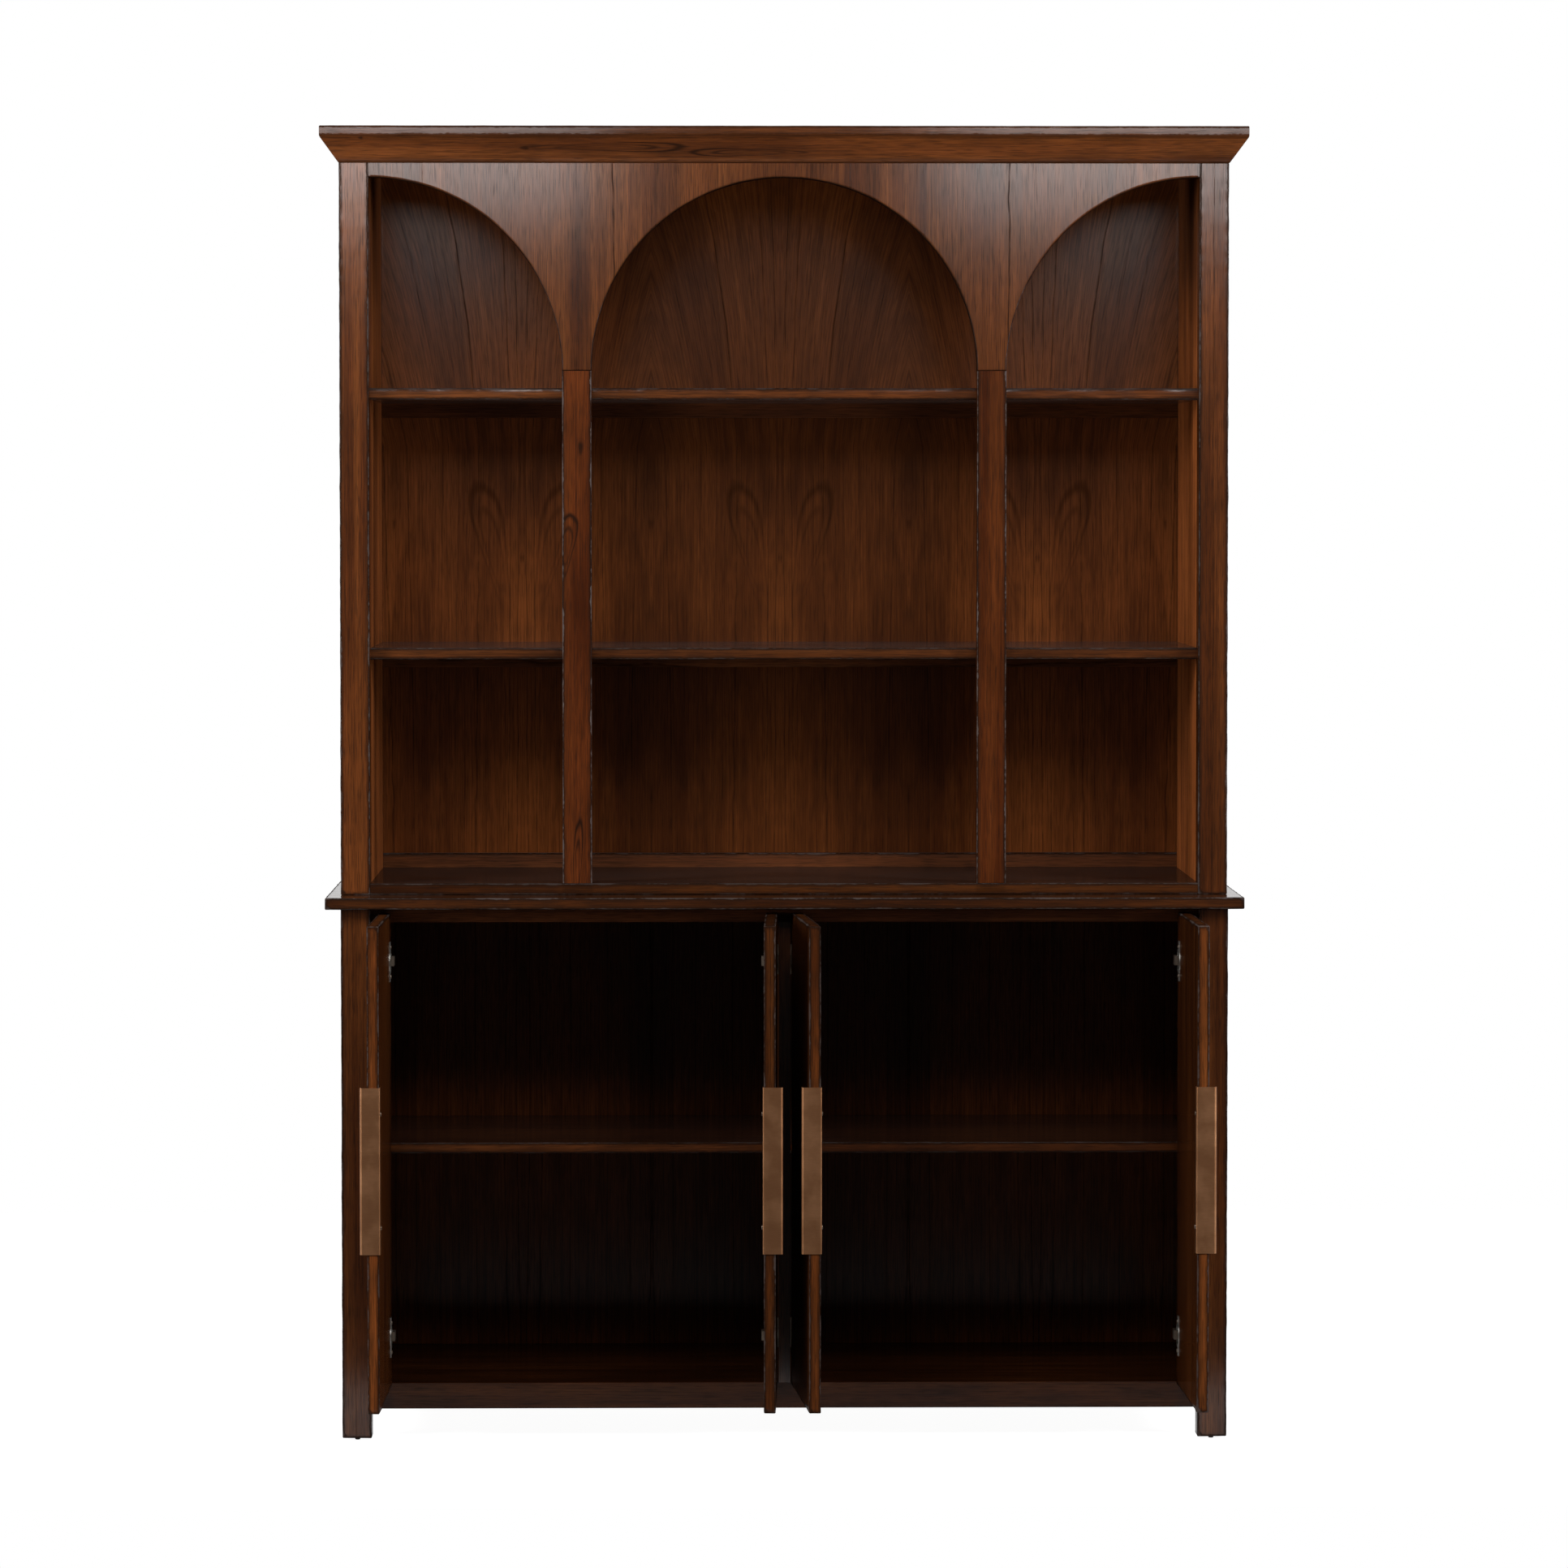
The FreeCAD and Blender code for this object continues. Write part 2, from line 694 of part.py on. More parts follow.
def make_doors(pieces):
    slab = door_slab()
    pull = door_pull()
    cups = Part.makeCompound([hinge_cup(height) for height in hinge_heights])
    screws = Part.makeCompound(pull_screws() + cup_screws())
    arms = []
    plates = []
    pins = []
    fixings = []
    for door in doors:
        name = door["name"]
        pieces[f"{name}_door"] = swung(slab, door)
        pieces[f"{name}_pull"] = swung(pull, door)
        pieces[f"{name}_hinge_cups"] = swung(cups, door)
        pieces[f"{name}_screws"] = swung(screws, door)
        for height in hinge_heights:
            arms.append(placed(hinge_arm(door["wall"], height), door))
            plates.append(placed(hinge_plate(door["wall"], height), door))
            pins.append(placed(hinge_pin(height), door))
            fixings += [placed(fixing, door) for fixing in plate_screws(door["wall"], height)]
    pieces["hinge_arms"] = Part.makeCompound(arms)
    pieces["hinge_plates"] = Part.makeCompound(plates)
    pieces["hinge_pins"] = Part.makeCompound(pins)
    pieces["hinge_plate_screws"] = Part.makeCompound(fixings)


def make_pieces():
    pieces = {}
    places = dowel_places()
    rods = [dowel(*place) for place in places]
    rod_holes = [dowel(*place, dowel_clearance, dowel_end_gap) for place in places]
    spike_holes = glides(glide_spike_clearance)
    pin_holes = shelf_pins(shelf_pin_clearance)
    make_crown(pieces)
    make_hutch(pieces, rod_holes)
    make_base(pieces, rod_holes + spike_holes + pin_holes + wall_cutters())
    pieces["frame_dowels"] = Part.makeCompound(rods)
    pieces["shelf_pins"] = Part.makeCompound(shelf_pins())
    pieces["foot_glides"] = Part.makeCompound(glides())
    make_doors(pieces)
    return pieces


# The finished part stands on z = 0, with x = 0 and y = 0 in the middle of its whole extent at rest
pieces = make_pieces()
extent = Part.makeCompound(list(pieces.values())).BoundBox
to_origin = Vector(-extent.Center.x, -extent.Center.y, -extent.ZMin)

os.makedirs("parts", exist_ok=True)
for name, shape in pieces.items():
    shape.translated(to_origin).exportStep(f"parts/{name}.step")
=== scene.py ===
import json
import math

import bmesh
import bpy
from mathutils import Matrix, Vector


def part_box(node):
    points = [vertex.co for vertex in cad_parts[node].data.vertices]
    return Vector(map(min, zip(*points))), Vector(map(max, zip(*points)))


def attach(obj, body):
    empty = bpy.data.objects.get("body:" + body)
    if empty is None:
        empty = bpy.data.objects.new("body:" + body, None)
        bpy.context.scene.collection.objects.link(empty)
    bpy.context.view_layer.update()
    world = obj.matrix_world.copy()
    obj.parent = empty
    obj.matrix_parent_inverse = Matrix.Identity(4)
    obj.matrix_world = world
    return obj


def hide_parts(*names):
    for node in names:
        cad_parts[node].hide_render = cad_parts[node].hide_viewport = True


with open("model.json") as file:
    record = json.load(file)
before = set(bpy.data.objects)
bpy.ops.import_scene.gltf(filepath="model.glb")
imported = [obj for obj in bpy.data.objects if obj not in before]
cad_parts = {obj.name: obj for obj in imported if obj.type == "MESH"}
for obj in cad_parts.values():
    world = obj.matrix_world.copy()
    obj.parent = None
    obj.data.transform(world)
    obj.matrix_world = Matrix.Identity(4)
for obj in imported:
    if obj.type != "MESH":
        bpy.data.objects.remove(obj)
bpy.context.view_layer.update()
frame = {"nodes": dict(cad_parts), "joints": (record.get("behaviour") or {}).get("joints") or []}  # metres, x to the right, y to the back, z up from the floor
cadNodes = frame["nodes"]
joints = {joint["child"]: joint for joint in frame["joints"]}
cabinetCorners = ["left_front", "right_front", "left_back", "right_back"]
doorPlaces = ["left_outer", "left_inner", "right_inner", "right_outer"]
print("frame loaded:", len(cadNodes), "pieces")

# Node helpers

def feed(tree, socket, value):
    if isinstance(value, bpy.types.NodeSocket):
        tree.links.new(value, socket)
    else:
        socket.default_value = value


def put(tree, kind, inputs=None, **settings):  # one node, with its settings, values and links
    node = tree.nodes.new("ShaderNode" + kind)
    for name, value in settings.items():
        setattr(node, name, value)
    for name, value in (inputs or {}).items():
        feed(tree, node.inputs[name], value)
    return node


def calc(tree, operation, *values, kind="Math"):
    node = put(tree, kind, operation=operation)
    for socket, value in zip(node.inputs, values):
        feed(tree, socket, value)
    return node.outputs[0]


def ease(tree, value, low, high, start=0.0, end=1.0):  # smooth step between two values
    inputs = {"Value": value, "From Min": low, "From Max": high, "To Min": start, "To Max": end}
    return put(tree, "MapRange", inputs, interpolation_type="SMOOTHSTEP").outputs[0]


def tint(tree, share, first, second, blend="MIX"):
    node = put(tree, "Mix", data_type="RGBA", blend_type=blend)
    for index, value in ((0, share), (6, first), (7, second)):
        feed(tree, node.inputs[index], value)
    return node.outputs[2]


def grey(tree, value):
    return put(tree, "CombineColor", {0: value, 1: value, 2: value}).outputs[0]


def splitUp(tree, vector):
    return put(tree, "SeparateXYZ", {0: vector}).outputs


def noise(tree, vector, scale, detail=2.0, rough=0.5):
    inputs = {"Vector": vector, "Scale": scale, "Detail": detail, "Roughness": rough}
    return put(tree, "TexNoise", inputs).outputs[0]


def stretched(tree, vector, scale, detail=2.0, rough=0.5):  # noise drawn out along one axis
    return noise(tree, calc(tree, "MULTIPLY", vector, scale, kind="VectorMath"), 1.0, detail, rough)


def attribute(tree, name):
    return put(tree, "Attribute", attribute_name=name).outputs["Fac"]


def newGroup(name, inputs, outputs):
    group = bpy.data.node_groups.new(name, "ShaderNodeTree")
    for label, kind, value in inputs:
        socket = group.interface.new_socket(label, in_out="INPUT", socket_type="NodeSocket" + kind)
        if value is not None:
            socket.default_value = value
    for label, kind in outputs:
        group.interface.new_socket(label, in_out="OUTPUT", socket_type="NodeSocket" + kind)
    return group, group.nodes.new("NodeGroupInput").outputs, group.nodes.new("NodeGroupOutput").inputs


def useGroup(tree, group, inputs):
    node = tree.nodes.new("ShaderNodeGroup")
    node.node_tree = group
    for name, value in inputs.items():
        feed(tree, node.inputs[name], value)
    return node.outputs


def newMaterial(name):
    material = bpy.data.materials.new(name)
    material.use_nodes = True
    return material, material.node_tree, material.node_tree.nodes["Principled BSDF"].inputs


# Grain that every board shares

grainSizes = {  # repeats in a metre: across the grain, along it and through the board
    "sway": (2.4, 0.8, 2.4),       # slow bends
    "patch": (7.0, 1.4, 7.0),      # lighter and darker stain
    "band": (46.0, 0.7, 46.0),     # narrow bands of colour
    "mottle": (42.0, 8.0, 42.0),   # small clouds in the stain
    "fibre": (420.0, 5.0, 420.0),  # fine fibre
    "drift": (8.0, 0.35, 8.0),     # crowds and spreads the growth rings
    "pore": (900.0, 28.0, 900.0),  # open pores, fine dashes
    "wobble": (9.0, 11.0, 9.0),    # small bends in the dark ring lines
    "dash": (220.0, 45.0, 220.0),  # breaks in the dark ring lines
}
ringSizes = {
    "deep": 0.45, "drift": 0.09, "wobble": 0.007,  # how far depth, drift and wobble move the rings
    "line": 0.0035, "lineFall": 0.25,              # metres, and the share of the line that fades out
    "dashes": (0.30, 0.55, 0.45, 1.0),             # from, to and the values there
    "chance": (0.25, 0.95), "pores": (0.50, 0.65),
}


def makeGrainGroup():
    inputs = [("Board", "Vector", None), ("Waver", "Float", 0.006), ("Rings", "Float", 30.0)]
    outputs = ["Patch", "Band", "Mottle", "Fibre", "Rings", "Pores"]
    group, given, results = newGroup("boardGrain", inputs, [(label, "Float") for label in outputs])
    sway = calc(group, "SUBTRACT", stretched(group, given["Board"], grainSizes["sway"], 1.0), 0.5)
    sway = calc(group, "MULTIPLY", sway, given["Waver"])
    push = put(group, "CombineXYZ", {"X": sway, "Z": sway}).outputs[0]
    bent = calc(group, "ADD", given["Board"], push, kind="VectorMath")
    split = splitUp(group, bent)
    deep = calc(group, "MULTIPLY", split["Z"], ringSizes["deep"])
    drift = calc(group, "MULTIPLY", stretched(group, bent, grainSizes["drift"], 1.0), ringSizes["drift"])
    wobble = calc(group, "MULTIPLY", stretched(group, bent, grainSizes["wobble"]), ringSizes["wobble"])
    growth = calc(group, "ADD", calc(group, "ADD", split["X"], deep), calc(group, "ADD", drift, wobble))
    count = calc(group, "MULTIPLY", growth, given["Rings"])
    part = calc(group, "FRACT", count)
    ring = {"W": calc(group, "FLOOR", count)}
    chance = put(group, "TexWhiteNoise", ring, noise_dimensions="1D").outputs["Value"]
    width = calc(group, "MULTIPLY", given["Rings"], ringSizes["line"])
    begin = calc(group, "SUBTRACT", 1.0, width)
    peak = calc(group, "SUBTRACT", 1.0, calc(group, "MULTIPLY", width, ringSizes["lineFall"]))
    line = calc(group, "MULTIPLY", ease(group, part, begin, peak), ease(group, part, peak, 1.0, 1.0, 0.0))
    dashes = ease(group, stretched(group, bent, grainSizes["dash"]), *ringSizes["dashes"])
    line = calc(group, "MULTIPLY", line, dashes)
    made = {
        "Patch": stretched(group, bent, grainSizes["patch"]),
        "Band": stretched(group, bent, grainSizes["band"]),
        "Mottle": stretched(group, bent, grainSizes["mottle"], 3.0, 0.6),
        "Fibre": stretched(group, bent, grainSizes["fibre"], 2.0, 0.6),
        "Rings": calc(group, "MULTIPLY", line, ease(group, chance, *ringSizes["chance"])),
        "Pores": ease(group, stretched(group, bent, grainSizes["pore"], 1.0), *ringSizes["pores"]),
    }
    for label in outputs:
        group.links.new(made[label], results[label])
    return group


# Eyes: dark growth lines closed round a knot

eyeSizes = {
    "loops": ((1.0, 0.16, 1.0), (0.62, 0.14, 0.8)),       # how far out, how wide and how dark
    "foot": 0.4,                                          # the foot's width as a share of the head's
    "waver": 0.22, "waverSize": (1.3, 1.3, 1.3),
    "waverApart": (9.0, 9.0, 9.0),                        # so that each eye wavers in its own way
    "heart": (0.35, 1.0, 1.0, 0.0), "heartHides": 0.8,    # a dark knot, and the share of the loops it hides
    "head": (-1.0, 0.8),                                  # darkest at the head
}


def makeEyeGroup():
    inputs = [("Board", "Vector", None), ("Centre", "Vector", None), ("Size", "Vector", None),
              ("Lean", "Float", 0.0), ("Heart", "Float", 0.0), ("Foot", "Float", 0.7)]
    group, given, results = newGroup("grainEye", inputs, [("Loops", "Float")])
    split = splitUp(group, calc(group, "SUBTRACT", given["Board"], given["Centre"], kind="VectorMath"))
    across = calc(group, "SUBTRACT", split["X"], calc(group, "MULTIPLY", split["Y"], given["Lean"]))
    straight = put(group, "CombineXYZ", {"X": across, "Y": split["Y"], "Z": split["Z"]}).outputs[0]
    split = splitUp(group, calc(group, "DIVIDE", straight, given["Size"], kind="VectorMath"))
    narrow = ease(group, split["Y"], -1.0, 1.0, 1.0 / eyeSizes["foot"], 1.0)
    narrowX = calc(group, "MULTIPLY", split["X"], narrow)
    narrowZ = calc(group, "MULTIPLY", split["Z"], narrow)
    sized = put(group, "CombineXYZ", {"X": narrowX, "Y": split["Y"], "Z": narrowZ}).outputs[0]
    far = put(group, "VectorMath", {0: sized}, operation="LENGTH").outputs["Value"]
    spot = calc(group, "MULTIPLY_ADD", given["Centre"], eyeSizes["waverApart"], sized, kind="VectorMath")
    uneven = calc(group, "SUBTRACT", stretched(group, spot, eyeSizes["waverSize"], 1.0), 0.5)
    far = calc(group, "ADD", far, calc(group, "MULTIPLY", uneven, eyeSizes["waver"]))
    loops = calc(group, "MULTIPLY", ease(group, far, *eyeSizes["heart"]), given["Heart"])
    bare = calc(group, "SUBTRACT", 1.0, calc(group, "MULTIPLY", given["Heart"], eyeSizes["heartHides"]))
    for reach, width, dark in eyeSizes["loops"]:
        gap = calc(group, "ABSOLUTE", calc(group, "SUBTRACT", far, reach))
        loop = calc(group, "MULTIPLY", ease(group, gap, 0.0, width, dark, 0.0), bare)
        loops = calc(group, "MAXIMUM", loops, loop)
    head = ease(group, split["Y"], *eyeSizes["head"], given["Foot"], 1.0)
    group.links.new(calc(group, "MULTIPLY", loops, head), results["Loops"])
    return group


# Rubbed arrises: dark glaze beside them, and a pale line along them that is partly worn stain and partly a
# painted highlight

edgeMarkSizes = {
    "chip": 150.0, "chipDepth": 0.5,   # small breaks in the line along an arris
    "reach": 24.0, "reachDepth": 0.8,  # slow changes in how far the glaze runs in
    # the pale line on an arris is partly worn stain and partly a painted highlight
    "soft": (0.05, 0.80, 0.6), "line": (0.50, 0.80, 0.4), "wearAndGlint": (0.76, 0.98, 1.0),  # from, to, share
    "edgeFrom": 0.001,                 # no glaze where the edge attribute is less
}


def makeEdgeWearAndGlintGroup():
    inputs = [("Edge", "Float", 0.0), ("Place", "Vector", None)]
    group, given, results = newGroup("edgeWearAndGlint", inputs, [("WearAndGlint", "Float"), ("Glaze", "Float")])
    edge = given["Edge"]

    def uneven(size, depth):
        change = calc(group, "SUBTRACT", noise(group, given["Place"], size), 0.5)
        return calc(group, "MULTIPLY", change, depth)

    def step(name, *shifts):
        low, high, share = edgeMarkSizes[name]
        value = edge
        for shift in shifts:
            value = calc(group, "ADD", value, shift)
        return ease(group, value, low, high, 0.0, share)

    chips = uneven(edgeMarkSizes["chip"], edgeMarkSizes["chipDepth"])
    slow = uneven(edgeMarkSizes["reach"], edgeMarkSizes["reachDepth"])
    glaze = calc(group, "ADD", step("soft", slow), step("line", chips))
    glaze = calc(group, "MULTIPLY", glaze, calc(group, "GREATER_THAN", edge, edgeMarkSizes["edgeFrom"]))
    group.links.new(step("wearAndGlint", chips, slow), results["WearAndGlint"])
    group.links.new(glaze, results["Glaze"])
    return group


# Book-matched veneer: mirrored leaves, each with an eye and two small knots in the middle tier

leaf = {
    "width": 0.219,                                       # of one leaf, mirrored at its joints
    "leanFrom": 1.62, "leanJoint": 0.02, "leanOut": 0.9,  # the grain fans out above this height
    "eyes": [{"Centre": (0.048, 1.443, 0), "Size": (0.035, 0.110, 1), "Lean": 0.22, "Foot": 0.3},
             {"Centre": (0.217, 1.487, 0), "Size": (0.005, 0.012, 1), "Heart": 1.0},
             {"Centre": (0.002, 1.428, 0), "Size": (0.004, 0.010, 1), "Heart": 1.0}],
    "faceEnds": 0.41, "loopShare": 0.7,                   # only the face in front of this has eyes
    "middle": (0.22, 0.36), "middlePaintedShade": 0.6,            # the middle of the panel is darker: painted shade
}


def makeBookMatchGroup():
    outputs = [("Board", "Vector"), ("Loops", "Float"), ("MiddleShade", "Float")]
    group, given, results = newGroup("bookMatchedLeaf", [("Place", "Vector", None)], outputs)
    split = splitUp(group, given["Place"])
    height = split["Z"]
    side = calc(group, "ABSOLUTE", split["X"])
    outer = calc(group, "MULTIPLY", calc(group, "GREATER_THAN", side, leaf["width"]), leaf["width"] * 2)
    across = calc(group, "ABSOLUTE", calc(group, "SUBTRACT", side, outer))
    slope = calc(group, "ADD", calc(group, "MULTIPLY", across, leaf["leanOut"]), leaf["leanJoint"])
    above = calc(group, "MAXIMUM", calc(group, "SUBTRACT", height, leaf["leanFrom"]), 0.0)
    foot = calc(group, "SUBTRACT", across, calc(group, "MULTIPLY", slope, above))
    board = put(group, "CombineXYZ", {"X": foot, "Y": height}).outputs[0]
    loops = 0.0
    for eye in leaf["eyes"]:
        loops = calc(group, "MAXIMUM", loops, useGroup(group, grainEye, {"Board": board, **eye})["Loops"])
    face = calc(group, "LESS_THAN", split["Y"], leaf["faceEnds"])
    loops = calc(group, "MULTIPLY", loops, calc(group, "MULTIPLY", face, leaf["loopShare"]))
    # darker in the middle of the panel: painted shade
    tone = ease(group, side, *leaf["middle"], leaf["middlePaintedShade"], 1.0)
    for label, value in (("Board", board), ("Loops", loops), ("MiddleShade", tone)):
        group.links.new(value, results[label])
    return group


boardGrain = makeGrainGroup()
grainEye = makeEyeGroup()
edgeWearAndGlint = makeEdgeWearAndGlintGroup()
bookMatchedLeaf = makeBookMatchGroup()
print("shared effects made")

# Wood: stain, grain, glazed arrises with a partly painted highlight, painted light and shade in some places,
# and a polish over them

upright = (math.radians(-90), 0, 0)    # turns z into the way of the grain
lengthwise = (0, 0, math.radians(90))  # turns x into the way of the grain
frontToBack = (0, 0, 0)                # y is already the way of the grain

woodLooks = {
    "dark": (0.050, 0.0128, 0.0030, 1), "mid": (0.088, 0.0240, 0.0054, 1),
    # the last colour on the next line is the pale arris line: partly worn stain, partly a painted highlight
    "light": (0.140, 0.0425, 0.0098, 1), "glaze": (0.010, 0.0050, 0.0032, 1), "wearAndGlint": (0.20, 0.165, 0.155, 1),
    "glazeShare": 0.9, "wearAndGlintShare": 0.2, "ringShare": 0.6, "poreShare": 0.5, "bandShare": 0.55, "tone": 1.1,
    "rough": 0.16, "gloss": 1.0, "sheen": 0.0, "bump": 0.03, "waver": 0.008, "rings": 26.0,
    "turn": upright, "shift": (0, 0, 0), "eyes": [], "matched": False,
    "inside": None,                     # the tone of the inner faces: painted light low down and painted shade under the cornice
}
woodSteps = {  # from, to and the values there
    "patch": (0.32, 0.60), "band": (0.42, 0.74),
    "fibre": (0.25, 0.75, 0.76, 1.24), "mottle": (0.30, 0.70, 0.82, 1.18), "rough": (0.2, 0.8, 0.62, 0.48),
    "inner": (0.681, 0.685), "paintedShadeUnderCornice": (1.74, 1.94),  # metres from the middle and from the floor
    "dullGlaze": (0.4, 0.9), "dullPores": 0.4, "dullGloss": 0.1,
    "poreDepth": 0.0005,
}
mullionEyes = [  # centre, size, lean and how dark the heart is
    ((-0.331, 1.613, 0), (0.010, 0.016, 9), 0.0, 1.0),
    ((-0.354, 1.455, 0), (0.021, 0.048, 9), 0.1, 0.0),
    ((-0.338, 0.920, 0), (0.010, 0.085, 9), 0.05, 0.0),
]
corniceEyes = [
    ((0, -0.2885, 2.100), (9, 0.121, 0.0100), 0.0, 0.0),
    ((0, -0.422, 2.0985), (9, 0.012, 0.0070), 0.0, 1.0),
    ((0, -0.686, 2.114), (9, 0.006, 0.0050), 0.0, 1.0),
    ((0, -0.055, 2.092), (9, -0.090, 0.0085), 0.0, 0.0),
]
woods = {  # where each wood differs from woodLooks
    "postWood": {},
    # the mullions' pale arris lines are partly worn stain and partly a painted highlight
    "mullionWood": dict(shift=(0.4, 0.7, 0.2), waver=0.012, wearAndGlintShare=0.3, ringShare=0.9, gloss=0.6,
                        dark=(0.048, 0.0105, 0.0026, 1), mid=(0.085, 0.0195, 0.0046, 1),
                        light=(0.135, 0.036, 0.008, 1), eyes=mullionEyes),
    "archWood": dict(shift=(1.3, 0.2, 0.6), waver=0.014, rings=19.0, ringShare=0.9, wearAndGlintShare=0.0, tone=0.95),
    "backWood": dict(matched=True, waver=0.006, rings=58.0, ringShare=0.65, bandShare=0.18, poreShare=0.35,
                     gloss=0.4, rough=0.22, tone=1.52),
    # the side panels' inner faces carry painted light low down and painted shade under the cornice, the
    # right panel's more so
    "sideWood": dict(shift=(2.1, 0.4, 0.1), gloss=0.5, rough=0.4, inside=(2.1, 1.2)),
    "paintedLitSideWood": dict(shift=(1.2, 0.9, 0.6), gloss=0.5, rough=0.4, inside=(2.9, 0.9)),
    "shelfWood": dict(turn=lengthwise, shift=(0.3, 0.9, 0.5), wearAndGlintShare=0.1, sheen=0.009),
    "lowShelfWood": dict(turn=lengthwise, shift=(0.3, 0.9, 0.5), wearAndGlintShare=0.1, gloss=0.55, sheen=0.005),
    "corniceWood": dict(turn=lengthwise, shift=(0.8, 0.1, 0.3), waver=0.012, wearAndGlintShare=0.0, ringShare=0.85,
                        glazeShare=0.5, gloss=0.58, eyes=corniceEyes),
    "corniceEndWood": dict(turn=frontToBack, shift=(0.2, 0.6, 0.9), wearAndGlintShare=0.0, glazeShare=0.4, gloss=0.4,
                           rough=0.3),
    "counterWood": dict(turn=lengthwise, shift=(1.9, 0.3, 1.1)),
    "legWood": dict(shift=(0.9, 2.2, 0.3)),
    "doorWood": dict(shift=(1.7, 1.1, 0.8), gloss=0.4),
    "railWood": dict(turn=lengthwise, shift=(2.7, 0.8, 0.2), tone=0.95, gloss=0.4, rough=0.4),
    "lowRailWood": dict(turn=lengthwise, shift=(1.4, 0.5, 2.2), tone=0.5, gloss=0.3),
    "floorWood": dict(turn=lengthwise, shift=(0.6, 1.2, 0.7), tone=0.32, gloss=0.5),
    "dowelWood": dict(dark=(0.25, 0.16, 0.08, 1), mid=(0.45, 0.31, 0.17, 1), light=(0.55, 0.40, 0.24, 1)),
}


def makeWood(name, changes):
    look = {**woodLooks, **changes}
    wood, tree, shader = newMaterial(name)
    place = put(tree, "TexCoord").outputs["Object"]
    tone = calc(tree, "ADD", attribute(tree, "tone"), look["tone"])
    # inner faces of the side panels: painted light low down, painted shade under the cornice
    if look["inside"]:
        split = splitUp(tree, place)
        innerPaintedLightAndShade = ease(tree, split["Z"], *woodSteps["paintedShadeUnderCornice"], *look["inside"])
        side = calc(tree, "ABSOLUTE", split["X"])
        tone = calc(tree, "MULTIPLY", tone, ease(tree, side, *woodSteps["inner"], innerPaintedLightAndShade, 1.0))
    if look["matched"]:
        leaves = useGroup(tree, bookMatchedLeaf, {"Place": place})
        board, loops = leaves["Board"], leaves["Loops"]
        # painted shade in the middle of the back panel
        tone = calc(tree, "MULTIPLY", tone, leaves["MiddleShade"])
    else:
        turned = put(tree, "Mapping", {"Vector": place, "Rotation": look["turn"]}).outputs[0]
        board = calc(tree, "ADD", turned, look["shift"], kind="VectorMath")
        loops = 0.0
        for centre, size, lean, heart in look["eyes"]:
            eye = {"Board": turned, "Centre": centre, "Size": size, "Lean": lean, "Heart": heart}
            loops = calc(tree, "MAXIMUM", loops, useGroup(tree, grainEye, eye)["Loops"])
    grain = useGroup(tree, boardGrain, {"Board": board, "Waver": look["waver"], "Rings": look["rings"]})
    edgeMarks = useGroup(tree, edgeWearAndGlint, {"Edge": attribute(tree, "edge"), "Place": place})
    rings = calc(tree, "MAXIMUM", grain["Rings"], loops)

    colour = tint(tree, ease(tree, grain["Patch"], *woodSteps["patch"]), look["dark"], look["mid"])
    bands = ease(tree, grain["Band"], *woodSteps["band"], 0.0, look["bandShare"])
    colour = tint(tree, bands, colour, look["light"])
    shade = calc(tree, "MULTIPLY", ease(tree, grain["Fibre"], *woodSteps["fibre"]), tone)
    shade = calc(tree, "MULTIPLY", shade, ease(tree, grain["Mottle"], *woodSteps["mottle"]))
    colour = tint(tree, 1.0, colour, grey(tree, shade), "MULTIPLY")
    for mask, share in ((rings, "ringShare"), (grain["Pores"], "poreShare"), (edgeMarks["Glaze"], "glazeShare")):
        colour = tint(tree, calc(tree, "MULTIPLY", mask, look[share]), colour, look["glaze"])
    # pale line along the arrises: partly worn stain, partly a painted highlight
    colour = tint(tree, calc(tree, "MULTIPLY", edgeMarks["WearAndGlint"], look["wearAndGlintShare"]), colour, look["wearAndGlint"])
    tree.links.new(colour, shader["Base Color"])
    tree.links.new(ease(tree, grain["Fibre"], *woodSteps["rough"]), shader["Roughness"])

    # less polish in the pores, the dark lines and the glaze
    broken = calc(tree, "MULTIPLY", grain["Pores"], woodSteps["dullPores"])
    broken = calc(tree, "MAXIMUM", broken, ease(tree, edgeMarks["Glaze"], *woodSteps["dullGlaze"]))
    broken = calc(tree, "MAXIMUM", broken, rings)
    polish = ease(tree, broken, 0.0, 1.0, look["gloss"], look["gloss"] * woodSteps["dullGloss"])
    tree.links.new(polish, shader["Coat Weight"])
    shader["Coat Roughness"].default_value = look["rough"]
    shader["Sheen Weight"].default_value = look["sheen"]  # dusty veil on a board seen along its face
    shader["Specular IOR Level"].default_value = 0.0      # all the gloss is in the polish
    pits = {"Height": grain["Pores"], "Strength": look["bump"], "Distance": woodSteps["poreDepth"]}
    tree.links.new(put(tree, "Bump", pits, invert=True).outputs[0], shader["Normal"])
    return wood


# Metal and nylon: uneven tarnish and fine brush marks

metals = {  # colour, colour where worn, roughness, brush marks in a metre, and 1 for metal
    "bronze": ((0.34, 0.156, 0.072, 1), (0.47, 0.230, 0.112, 1), 0.46, (60.0, 60.0, 900.0), 1.0),
    "nickel": ((0.40, 0.38, 0.35, 1), (0.52, 0.50, 0.46, 1), 0.42, (500.0, 500.0, 40.0), 1.0),
    "steel": ((0.16, 0.12, 0.09, 1), (0.24, 0.19, 0.15, 1), 0.48, (700.0, 700.0, 700.0), 1.0),
    "nylon": ((0.018, 0.014, 0.012, 1), (0.03, 0.024, 0.02, 1), 0.55, (400.0, 400.0, 400.0), 0.0),
}
metalLooks = {
    "patchSize": 26.0, "patch": (0.35, 0.68), "line": (0.3, 0.7, 0.93, 1.05),
    "roughSpread": 0.12, "bump": 0.08, "bumpDepth": 0.0003,
}


